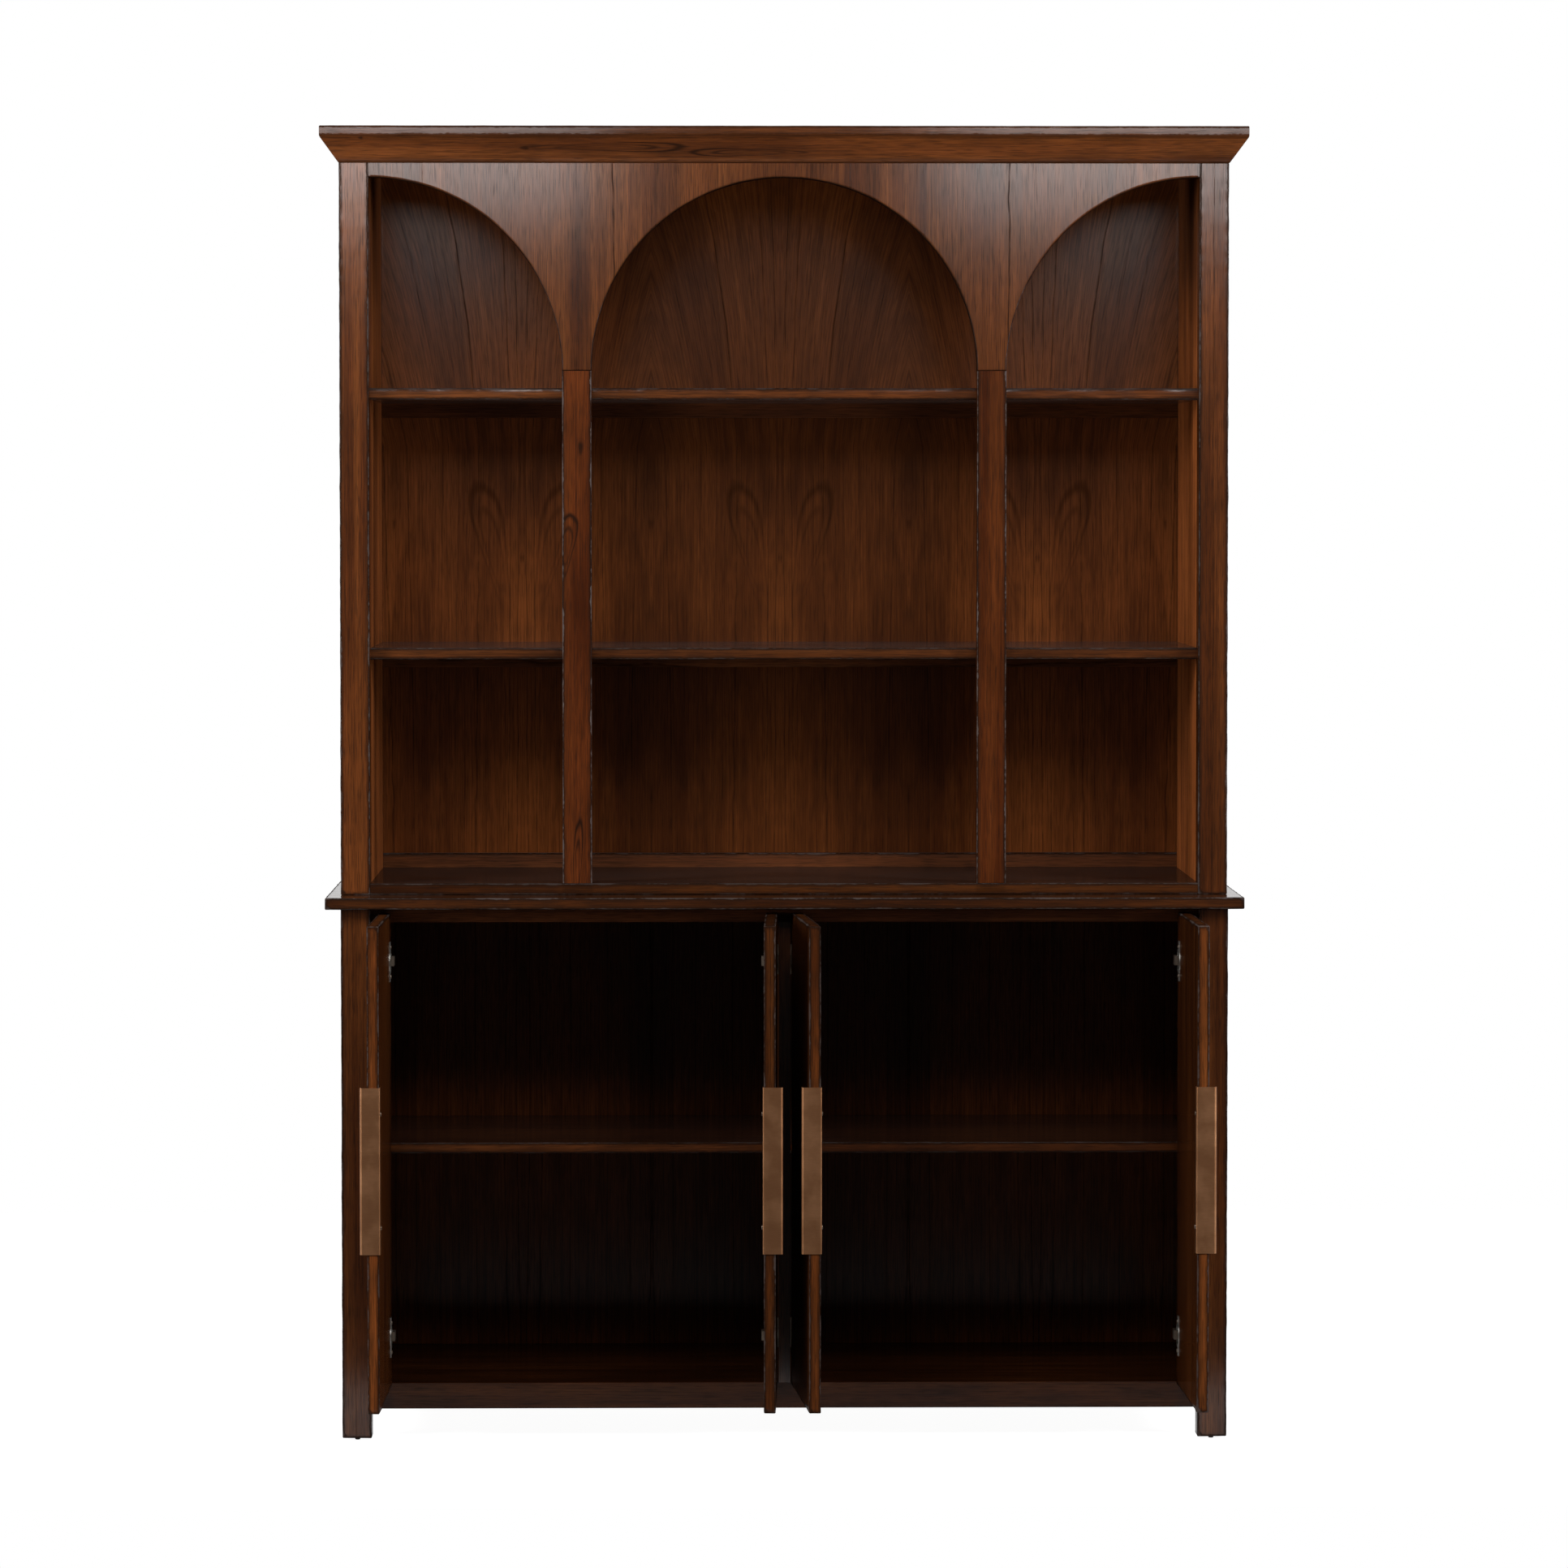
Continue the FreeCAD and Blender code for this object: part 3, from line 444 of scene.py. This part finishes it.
def makeMetal(name, colour, worn, rough, brush, metallic):
    metal, tree, shader = newMaterial(name)
    place = put(tree, "TexCoord").outputs["Object"]
    lines = stretched(tree, place, brush, 3.0, 0.65)
    patches = noise(tree, place, metalLooks["patchSize"], 3.0)
    mixed = tint(tree, ease(tree, patches, *metalLooks["patch"]), colour, worn)
    mixed = tint(tree, 1.0, mixed, grey(tree, ease(tree, lines, *metalLooks["line"])), "MULTIPLY")
    tree.links.new(mixed, shader["Base Color"])
    spread = metalLooks["roughSpread"]
    uneven = calc(tree, "ADD", rough - spread / 2, calc(tree, "MULTIPLY", lines, spread))
    tree.links.new(uneven, shader["Roughness"])
    shader["Metallic"].default_value = metallic
    marks = {"Height": lines, "Strength": metalLooks["bump"], "Distance": metalLooks["bumpDepth"]}
    tree.links.new(put(tree, "Bump", marks).outputs[0], shader["Normal"])
    return metal


materials = {name: makeWood(name, changes) for name, changes in woods.items()}
materials.update({name: makeMetal(name, *look) for name, look in metals.items()})
print("materials made:", len(materials))

# Which finish each bench piece takes

finishes = {
    "postWood": ["hutch_" + corner + "_post" for corner in cabinetCorners],
    "mullionWood": ["left_mullion", "right_mullion"],
    "archWood": ["arch_panel"],
    "backWood": ["hutch_back_panel", "base_back_panel"],
    "sideWood": ["hutch_left_side_panel"],
    "paintedLitSideWood": ["hutch_right_side_panel"],
    "shelfWood": ["upper_shelf", "lower_shelf", "left_shelf", "right_shelf"],
    "lowShelfWood": ["hutch_bottom_board"],
    "floorWood": ["base_floor"],
    "corniceWood": ["crown_front"],
    "corniceEndWood": ["crown_left", "crown_right"],
    "counterWood": ["countertop"],
    "legWood": [corner + "_leg" for corner in cabinetCorners]
    + ["base_right_side_panel", "base_left_side_panel", "partition"],
    "doorWood": [place + "_door" for place in doorPlaces],
    "railWood": ["top_front_rail", "top_back_rail", "upper_shelf_cleat", "lower_shelf_cleat",
                 "hutch_bottom_cleat", "hutch_top_board"],
    "lowRailWood": ["bottom_front_rail", "bottom_back_rail"],
    "dowelWood": ["frame_dowels"],
    "bronze": [place + "_pull" for place in doorPlaces],
    "nickel": [place + "_hinge_cups" for place in doorPlaces] + ["shelf_pins"],
    "steel": [place + "_screws" for place in doorPlaces]
    + ["hinge_arms", "hinge_plates", "hinge_pins", "hinge_plate_screws"],
    "nylon": ["foot_glides"],
}
finishOf = {node: finish for finish, nodes in finishes.items() for node in nodes}


def dressFrame():
    for name, piece in cadNodes.items():
        for slot in piece.material_slots:
            slot.material = materials[finishOf[name]]
    print("bench pieces dressed")


dressFrame()

# Tools for boards with rubbed, uneven arrises, each shaped from a block of its bench piece's size

wornEdge = {
    "round": 0.002, "segments": 3,         # the eased arris
    "reach": 0.009, "reachShare": 0.35,    # how far the glaze runs in, at most this share of a thin board
    "step": 0.006, "longFrom": 0.2,        # length between the points that dents move, on boards this long
    "lengthShare": 0.8,                    # an edge runs along the board if this share of it does
    "fade": 0.03,                          # dents die out this far from where a board butts another
    "dents": {"longDents": (0.045, 0.60, 0.0018), "nicks": (0.011, 0.56, 0.0012)},  # size, middle, strength
    "smoothAngle": math.radians(35),
}
sides = {  # axis, and which way along it
    "left": (0, -1), "right": (0, 1), "front": (1, -1), "back": (1, 1), "bottom": (2, -1), "top": (2, 1),
}
touching = 1e-5   # metres, two places that are the same
levelWith = 1e-4  # metres, a place on a face that dents may have moved


def along(axis):  # one metre along an axis
    way = Vector()
    way[axis] = 1
    return way


def pickOnly(piece):
    bpy.ops.object.select_all(action="DESELECT")
    piece.select_set(True)
    bpy.context.view_layer.objects.active = piece


def addBlock(name, low, high):
    bpy.ops.object.select_all(action="DESELECT")
    bpy.ops.mesh.primitive_cube_add(size=1.0, location=(low + high) / 2, scale=high - low)
    block = bpy.context.object
    block.name = name
    bpy.ops.object.transform_apply(location=True, rotation=True, scale=True)
    return block


def sawRound(piece, centre, radius, depth, segments):  # takes out a round from front to back
    bpy.ops.object.select_all(action="DESELECT")
    bpy.ops.mesh.primitive_cylinder_add(vertices=segments, radius=radius, depth=depth, location=centre,
                                        rotation=(math.radians(90), 0, 0))
    saw = bpy.context.object
    cut = piece.modifiers.new("sawn", "BOOLEAN")
    cut.operation = "DIFFERENCE"
    cut.object = saw
    bpy.context.view_layer.objects.active = piece
    bpy.ops.object.modifier_apply(modifier="sawn")
    bpy.data.objects.remove(saw, do_unlink=True)


def startEditing(piece):
    bpy.context.view_layer.objects.active = piece
    bpy.ops.object.mode_set(mode="EDIT")
    bpy.ops.mesh.select_mode(type="EDGE")


def pickEdges(piece, wanted):  # selects the edges whose two ends pass the test
    bpy.ops.mesh.select_all(action="DESELECT")
    mesh = bmesh.from_edit_mesh(piece.data)
    for edge in mesh.edges:
        edge.select_set(wanted(edge.verts[0].co, edge.verts[1].co))
    mesh.select_flush_mode()
    bmesh.update_edit_mesh(piece.data)


def scribe(place, normal, **options):  # cuts all faces along a plane
    bpy.ops.mesh.select_all(action="SELECT")
    bpy.ops.mesh.bisect(plane_co=place, plane_no=normal, **options)


def divideAlong(piece, axis, span):  # points along the board, in two rounds, for the dents to move
    def runsAlong(first, second):
        run = second - first
        return abs(run[axis]) > max(wornEdge["lengthShare"] * run.length, wornEdge["step"] * 2)

    cuts = math.ceil(math.sqrt(span / wornEdge["step"])) - 1
    for turn in range(2):
        pickEdges(piece, runsAlong)
        bpy.ops.mesh.subdivide(number_cuts=cuts)


def boardArrises(sharp):  # pairs of neighbouring sides whose shared arris is eased
    soft = [side for side in sides if side not in sharp]
    pairs = [(first, second) for first in soft for second in soft if first < second]
    return [pair for pair in pairs if sides[pair[0]][0] != sides[pair[1]][0]]


def inFrom(low, high, side, place):  # distance in from one side of a block
    axis, way = sides[side]
    return high[axis] - place[axis] if way > 0 else place[axis] - low[axis]


def markArrises(piece, distanceTo, low, high, sharp, reach):  # 1 at an arris, 0 where its glaze ends
    places = [vertex.co.copy() for vertex in piece.data.vertices]
    near = [max(0.0, 1.0 - distanceTo(place) / reach) for place in places]
    group = piece.vertex_groups.new(name="arris")
    for index, share in enumerate(near):
        ends = [inFrom(low, high, side, places[index]) / wornEdge["fade"] for side in sharp]
        group.add([index], share ** 2 * max(0.0, min([1.0] + ends)), "REPLACE")
    edge = piece.data.attributes.new("edge", "FLOAT", "POINT")
    edge.data.foreach_set("value", near)


def dentArrises(piece, share=1.0):
    bpy.context.view_layer.objects.active = piece
    for name, (size, middle, strength) in wornEdge["dents"].items():
        texture = bpy.data.textures.get(name) or bpy.data.textures.new(name, "CLOUDS")
        texture.noise_scale = size
        texture.noise_depth = 1
        dents = piece.modifiers.new(name, "DISPLACE")
        dents.texture = texture
        dents.texture_coords = "LOCAL"
        dents.vertex_group = "arris"
        dents.mid_level = middle
        dents.strength = strength * share
        bpy.ops.object.modifier_apply(modifier=name)


def smoothPiece(piece):  # flat faces stay flat beside their eased arrises
    pickOnly(piece)
    bpy.ops.object.shade_smooth_by_angle(angle=wornEdge["smoothAngle"])
    flat = piece.modifiers.new("flatFaces", "WEIGHTED_NORMAL")
    flat.keep_sharp = True
    bpy.ops.object.modifier_apply(modifier="flatFaces")


def finishPiece(piece, node, toneAt, body="cabinet"):
    smoothPiece(piece)
    piece.data.materials.clear()
    piece.data.materials.append(materials[finishOf[node]])
    shade = piece.data.attributes.new("tone", "FLOAT", "POINT")  # lightens or darkens the wood
    shade.data.foreach_set("value", [toneAt(vertex.co) - 1.0 for vertex in piece.data.vertices])
    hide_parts(node)
    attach(piece, body)


def wornBoard(name, low, high, sharp):
    board = addBlock(name, low, high)
    arrises = boardArrises(sharp)
    span = high - low
    startEditing(board)
    for side, (axis, way) in sides.items():
        if any(side in pair for pair in arrises):
            reach = min(wornEdge["reach"], span[axis] * wornEdge["reachShare"])
            place = low.copy()
            place[axis] = high[axis] - reach if way > 0 else low[axis] + reach
            scribe(place, along(axis))

    def isArris(first, second):
        for pair in arrises:
            if max(inFrom(low, high, side, end) for side in pair for end in (first, second)) < touching:
                return True
        return False

    pickEdges(board, isArris)
    bpy.ops.mesh.bevel(offset=wornEdge["round"], segments=wornEdge["segments"], affect="EDGES")
    for axis in range(3):
        eased = any(axis not in (sides[one][0], sides[two][0]) for one, two in arrises)
        if eased and span[axis] > wornEdge["longFrom"]:
            divideAlong(board, axis, span[axis])
    bpy.ops.object.mode_set(mode="OBJECT")

    def toArris(place):
        return min(max(inFrom(low, high, side, place) for side in pair) for pair in arrises)

    markArrises(board, toArris, low, high, sharp, wornEdge["reach"])
    dentArrises(board)
    return board


# The boards

boards = {  # sides that butt another board and stay sharp, slot, tone, and its top's share of that tone
    "hutch_left_front_post": ("top back", "frame_wood", 1.0, 1.0),
    "hutch_right_front_post": ("top back", "frame_wood", 0.75, 1.0),
    "left_mullion": ("top bottom back", "frame_wood", 0.74, 1.0),
    "right_mullion": ("top bottom back", "frame_wood", 0.54, 1.0),
    "upper_shelf": ("left right back", "shelf_wood", 0.72, 0.7),
    "lower_shelf": ("left right back", "shelf_wood", 0.58, 0.45),
    "hutch_bottom_board": ("left right back", "shelf_wood", 0.36, 0.3),
    "hutch_bottom_cleat": ("left right back bottom", "shelf_wood", 1.0, 1.0),
    "countertop": ("", "frame_wood", 0.40, 1.0),
    "left_front_leg": ("top back", "frame_wood", 0.65, 1.0),
    "right_front_leg": ("top back", "frame_wood", 0.62, 1.0),
    "left_shelf": ("left right back", "shelf_wood", 1.0, 0.3),
    "right_shelf": ("left right back", "shelf_wood", 1.0, 0.3),
}
boardTops = {"rim": 0.005, "footTone": 0.7}  # the bottom board is darker where a mullion stands on it


def makeBoards():
    feet = [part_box(node) for node in ("left_mullion", "right_mullion")]
    for node, (sharp, slot, tone, topShare) in boards.items():
        low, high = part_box(node)

        def toneAt(place):
            if place.z > high.z - levelWith and place.y > low.y + boardTops["rim"]:
                return tone * topShare
            if node == "hutch_bottom_board" and any(foot[0].x < place.x < foot[1].x for foot in feet):
                return tone * boardTops["footTone"]
            return tone

        finishPiece(wornBoard(node + ".worn", low, high, sharp.split()), node, toneAt)
    print("boards made:", len(boards))


makeBoards()

# The arch panel: a board sawn out by one round arch and half an arch beside each post

archPanel = {
    "segments": 480, "overrun": 0.01,   # of the saw
    "arcSlack": 0.0002,                 # how far off the round a point of its arris may lie
    "frontNormal": -0.9,                # faces that look more to the front than this take the glaze
    "reach": 0.004, "dentShare": 0.9, "tone": 0.8,
}


def makeArchPanel():
    low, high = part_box("arch_panel")
    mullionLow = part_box("right_mullion")[0]
    radius = mullionLow.x
    centres = [Vector((x, (low.y + high.y) / 2, low.z)) for x in (low.x, 0, high.x)]
    panel = addBlock("arch_panel.worn", low, high)
    for centre in centres:
        sawRound(panel, centre, radius, high.y - low.y + archPanel["overrun"], archPanel["segments"])

    def fromArc(place):
        return min(abs(math.hypot(place.x - centre.x, place.z - centre.z) - radius) for centre in centres)

    def onFrontArc(place):
        return place.y < low.y + touching and fromArc(place) < archPanel["arcSlack"]

    startEditing(panel)
    bpy.ops.mesh.select_mode(type="FACE")
    bpy.ops.mesh.select_all(action="DESELECT")
    mesh = bmesh.from_edit_mesh(panel.data)
    for face in mesh.faces:
        face.select_set(face.normal.y < archPanel["frontNormal"])
    bmesh.update_edit_mesh(panel.data)
    bpy.ops.mesh.inset(thickness=archPanel["reach"])
    bpy.ops.mesh.select_mode(type="EDGE")
    pickEdges(panel, lambda first, second: onFrontArc(first) and onFrontArc(second))
    bpy.ops.mesh.bevel(offset=wornEdge["round"], segments=wornEdge["segments"], affect="EDGES")
    bpy.ops.object.mode_set(mode="OBJECT")
    markArrises(panel, fromArc, low, high, ["left", "right", "bottom"], archPanel["reach"])
    dentArrises(panel, archPanel["dentShare"])
    finishPiece(panel, "arch_panel", lambda place: archPanel["tone"])
    print("arch panel sawn")


makeArchPanel()

# The cornice: a band over a wide bevel, in three mitred lengths

cornice = {
    "band": 0.017, "projection": 0.030, "round": 0.002, "segments": 3,
    # the band is painted darker and the bevel painted lighter, standing in for floor bounce light on the
    # bevel
    "topReachShare": 0.8, "dentShare": 0.35, "bandPaintedShade": 0.55, "bevelPaintedLight": 0.9,
}


def makeCornice(node, axis, way, mitres):  # axis and way point out from the cabinet
    low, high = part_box(node)
    face = high[axis] if way > 0 else low[axis]
    band = high.z - cornice["band"]
    length = 1 - axis
    reach = wornEdge["reach"]
    piece = addBlock(node + ".worn", low, high)

    def inward(place):
        return abs(place[axis] - face)

    def onLowerEdge(place):
        return inward(place) < touching and place.z < low.z + touching

    startEditing(piece)
    up = along(2)
    scribe(up * band, up)
    pickEdges(piece, lambda first, second: onLowerEdge(first) and onLowerEdge(second))
    bpy.ops.transform.translate(value=along(axis) * -way * cornice["projection"])
    for corner, normal in mitres:
        scribe(corner, normal, clear_outer=True, use_fill=True)
    for level in (high.z - reach * cornice["topReachShare"], band - reach, low.z + reach):
        scribe(up * level, up)
    inner = low.copy()
    inner[axis] = face - way * reach
    scribe(inner, along(axis))
    divideAlong(piece, length, high[length] - low[length])

    def toArris(place):
        top = max(inward(place), high.z - place.z)
        lip = max(inward(place), abs(place.z - band))
        foot = max(abs(inward(place) - cornice["projection"]), place.z - low.z)
        return min(top, lip, foot)

    def isArris(first, second):
        runs = abs(second[length] - first[length]) > levelWith
        return runs and max(toArris(first), toArris(second)) < touching

    pickEdges(piece, isArris)
    bpy.ops.mesh.bevel(offset=cornice["round"], segments=cornice["segments"], affect="EDGES")
    bpy.ops.object.mode_set(mode="OBJECT")
    markArrises(piece, toArris, low, high, [], reach)
    dentArrises(piece, cornice["dentShare"])
    # band darker, bevel lighter: painted shade and painted floor-bounce light
    finishPiece(piece, node,
                lambda place: cornice["bandPaintedShade"] if place.z > band - levelWith else cornice["bevelPaintedLight"])


def makeCrown():
    low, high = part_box("crown_front")
    leftCorner, rightCorner = Vector((low.x, low.y, low.z)), Vector((high.x, low.y, low.z))
    leftOut, rightOut = Vector((-1, 1, 0)), Vector((1, 1, 0))
    makeCornice("crown_front", 1, -1, [(leftCorner, leftOut), (rightCorner, rightOut)])
    makeCornice("crown_left", 0, -1, [(leftCorner, -leftOut)])
    makeCornice("crown_right", 0, 1, [(rightCorner, -rightOut)])
    print("cornice made")


makeCrown()

# Doors, shaped where they stand when shut and then swung to where the frame holds them

doors = {
    "tones": {"left_outer": 1.5, "left_inner": 0.56, "right_inner": 1.05, "right_outer": 1.4},
    "rim": 0.003, "faceTone": 0.32,  # the broad faces are darker than the rims
    "boreRadius": 0.0176, "boreSegments": 48, "boreSpare": 0.0001,  # seats of the hinge cups
}


def shutTurn(joint):  # carries a door from where it stands to where it shuts
    pivot = Matrix.Translation(Vector(joint["pos_m"]))
    turn = Matrix.Rotation(math.radians(joint["range_deg"][0]), 4, Vector(joint["axis"]))
    return pivot @ turn @ pivot.inverted()


def corners(points):
    points = list(points)
    low = Vector([min(point[axis] for point in points) for axis in range(3)])
    high = Vector([max(point[axis] for point in points) for axis in range(3)])
    return low, high


def boreDoor(door, cups, low, high):
    bottom = min(point.y for point in cups)
    cupBottoms = [point for point in cups if point.y < bottom + touching]
    depth = (high.y - bottom) + doors["boreSpare"]
    for upper in (False, True):
        cupLow, cupHigh = corners(point for point in cupBottoms if (point.z > (low.z + high.z) / 2) == upper)
        centre = (cupLow + cupHigh) / 2
        centre.y = bottom - doors["boreSpare"] + depth
        sawRound(door, centre, doors["boreRadius"], depth * 2, doors["boreSegments"])


def makeDoor(place, tone):
    node, body = place + "_door", place + "_leaf"
    shut = shutTurn(joints[body])
    low, high = corners(shut @ vertex.co for vertex in cadNodes[node].data.vertices)
    cups = [shut @ vertex.co for vertex in cadNodes[place + "_hinge_cups"].data.vertices]
    door = wornBoard(node + ".worn", low, high, [])
    boreDoor(door, cups, low, high)

    def toneAt(point):
        point = shut @ point
        rim = min(point.x - low.x, high.x - point.x)
        return tone if rim < doors["rim"] else tone * doors["faceTone"]

    door.matrix_world = shut.inverted()
    pickOnly(door)
    bpy.ops.object.transform_apply(location=True, rotation=True, scale=True)
    finishPiece(door, node, toneAt, body)


for place, tone in doors["tones"].items():
    makeDoor(place, tone)
print("doors made:", len(doors["tones"]))

# Studio: a pale floor, a white backdrop, two soft boxes on each side and the camera

studio = {
    "cameraPlace": (-0.16423, -10.42147, 1.53564),
    "cameraTurn": (math.pi / 2 - 0.04518, 0, -0.01579),
    "cameraLens": 146.18, "cameraSensor": 36.0, "cameraReach": 200.0,
    "boxes": {  # centre on the right-hand side, aim, width and height, power
        "top": ((0.82, -2.0, 2.62), (0.2, 0.0, 1.25), (1.15, 1.2), 31.0),
        "side": ((2.4, -1.4, 1.6), (0.0, 0.1, 1.35), (0.7, 1.5), 52.0),
    },
    "room": 0.04, "backdrop": 1.0,  # strengths
    "backdropFrom": (-0.1, 0.5),    # how far round the backdrop comes
}
paleFloor = {
    "low": (-2.6, -0.8), "high": (2.6, 3.2), "cuts": 8,
    "glow": 0.96, "gloss": 0.28,  # as the camera sees it, and as the polish does
    "speckle": 40.0, "shades": (0.49, 0.51), "rough": 0.9,
}


def makeCamera():
    bpy.ops.object.camera_add(location=studio["cameraPlace"], rotation=studio["cameraTurn"])
    camera = bpy.context.object
    camera.data.lens = studio["cameraLens"]
    camera.data.sensor_width = studio["cameraSensor"]
    camera.data.clip_end = studio["cameraReach"]
    bpy.context.scene.camera = camera


def makeSoftBox(name, way):
    (x, y, z), (aimX, aimY, aimZ), size, power = studio["boxes"][name]
    place = Vector((x * way, y, z))
    aim = Vector((aimX * way, aimY, aimZ)) - place
    bpy.ops.object.light_add(type="AREA", location=place, rotation=aim.to_track_quat("-Z", "Y").to_euler())
    lamp = bpy.context.object
    lamp.name = name + ("Left" if way < 0 else "Right")
    lamp.data.shape = "RECTANGLE"
    lamp.data.size, lamp.data.size_y = size
    lamp.data.energy = power
    lamp.visible_camera = False


def makeWorld():  # a dim room in front and a white backdrop behind, which the camera sees all round
    world = bpy.data.worlds.new("studioRoom")
    world.use_nodes = True
    bpy.context.scene.world = world
    tree = world.node_tree
    shader = tree.nodes["Background"].inputs
    shader["Color"].default_value = (1, 1, 1, 1)
    path = put(tree, "LightPath").outputs
    way = splitUp(tree, put(tree, "TexCoord").outputs["Generated"])["Y"]
    room = ease(tree, way, *studio["backdropFrom"], studio["room"], studio["backdrop"])
    seen = calc(tree, "MAXIMUM", path["Is Camera Ray"], path["Is Transmission Ray"])
    tree.links.new(calc(tree, "MAXIMUM", room, seen), shader["Strength"])


def makeFloorMaterial():
    pale, tree, shader = newMaterial("paleFloor")
    path = put(tree, "LightPath").outputs
    mirrored = calc(tree, "MULTIPLY", path["Is Glossy Ray"], paleFloor["gloss"])
    seen = calc(tree, "MAXIMUM", path["Is Camera Ray"], mirrored)
    speckle = put(tree, "TexNoise", {"Scale": paleFloor["speckle"]}).outputs[0]
    tree.links.new(grey(tree, ease(tree, speckle, 0.0, 1.0, *paleFloor["shades"])), shader["Base Color"])
    shader["Specular IOR Level"].default_value = 0.0
    shader["Roughness"].default_value = paleFloor["rough"]
    shader["Emission Color"].default_value = (1, 1, 1, 1)
    tree.links.new(calc(tree, "MULTIPLY", seen, paleFloor["glow"]), shader["Emission Strength"])
    under = put(tree, "NewGeometry").outputs["Backfacing"]
    tree.links.new(calc(tree, "SUBTRACT", 1.0, under), shader["Alpha"])  # clear when seen from below
    return pale


def makeFloor():
    (lowX, lowY), (highX, highY) = paleFloor["low"], paleFloor["high"]
    bpy.ops.object.select_all(action="DESELECT")
    bpy.ops.mesh.primitive_grid_add(x_subdivisions=paleFloor["cuts"], y_subdivisions=paleFloor["cuts"],
                                    size=1.0, location=((lowX + highX) / 2, (lowY + highY) / 2, 0))
    floor = bpy.context.object
    floor.name = "studioFloor"
    floor.scale = (highX - lowX, highY - lowY, 1)
    bpy.ops.object.transform_apply(location=True, rotation=True, scale=True)
    floor.data.materials.append(makeFloorMaterial())


makeCamera()
for boxName in studio["boxes"]:
    for way in (-1, 1):
        makeSoftBox(boxName, way)
makeWorld()
makeFloor()
bpy.context.scene.view_settings.view_transform = "Standard"
print("studio set up")
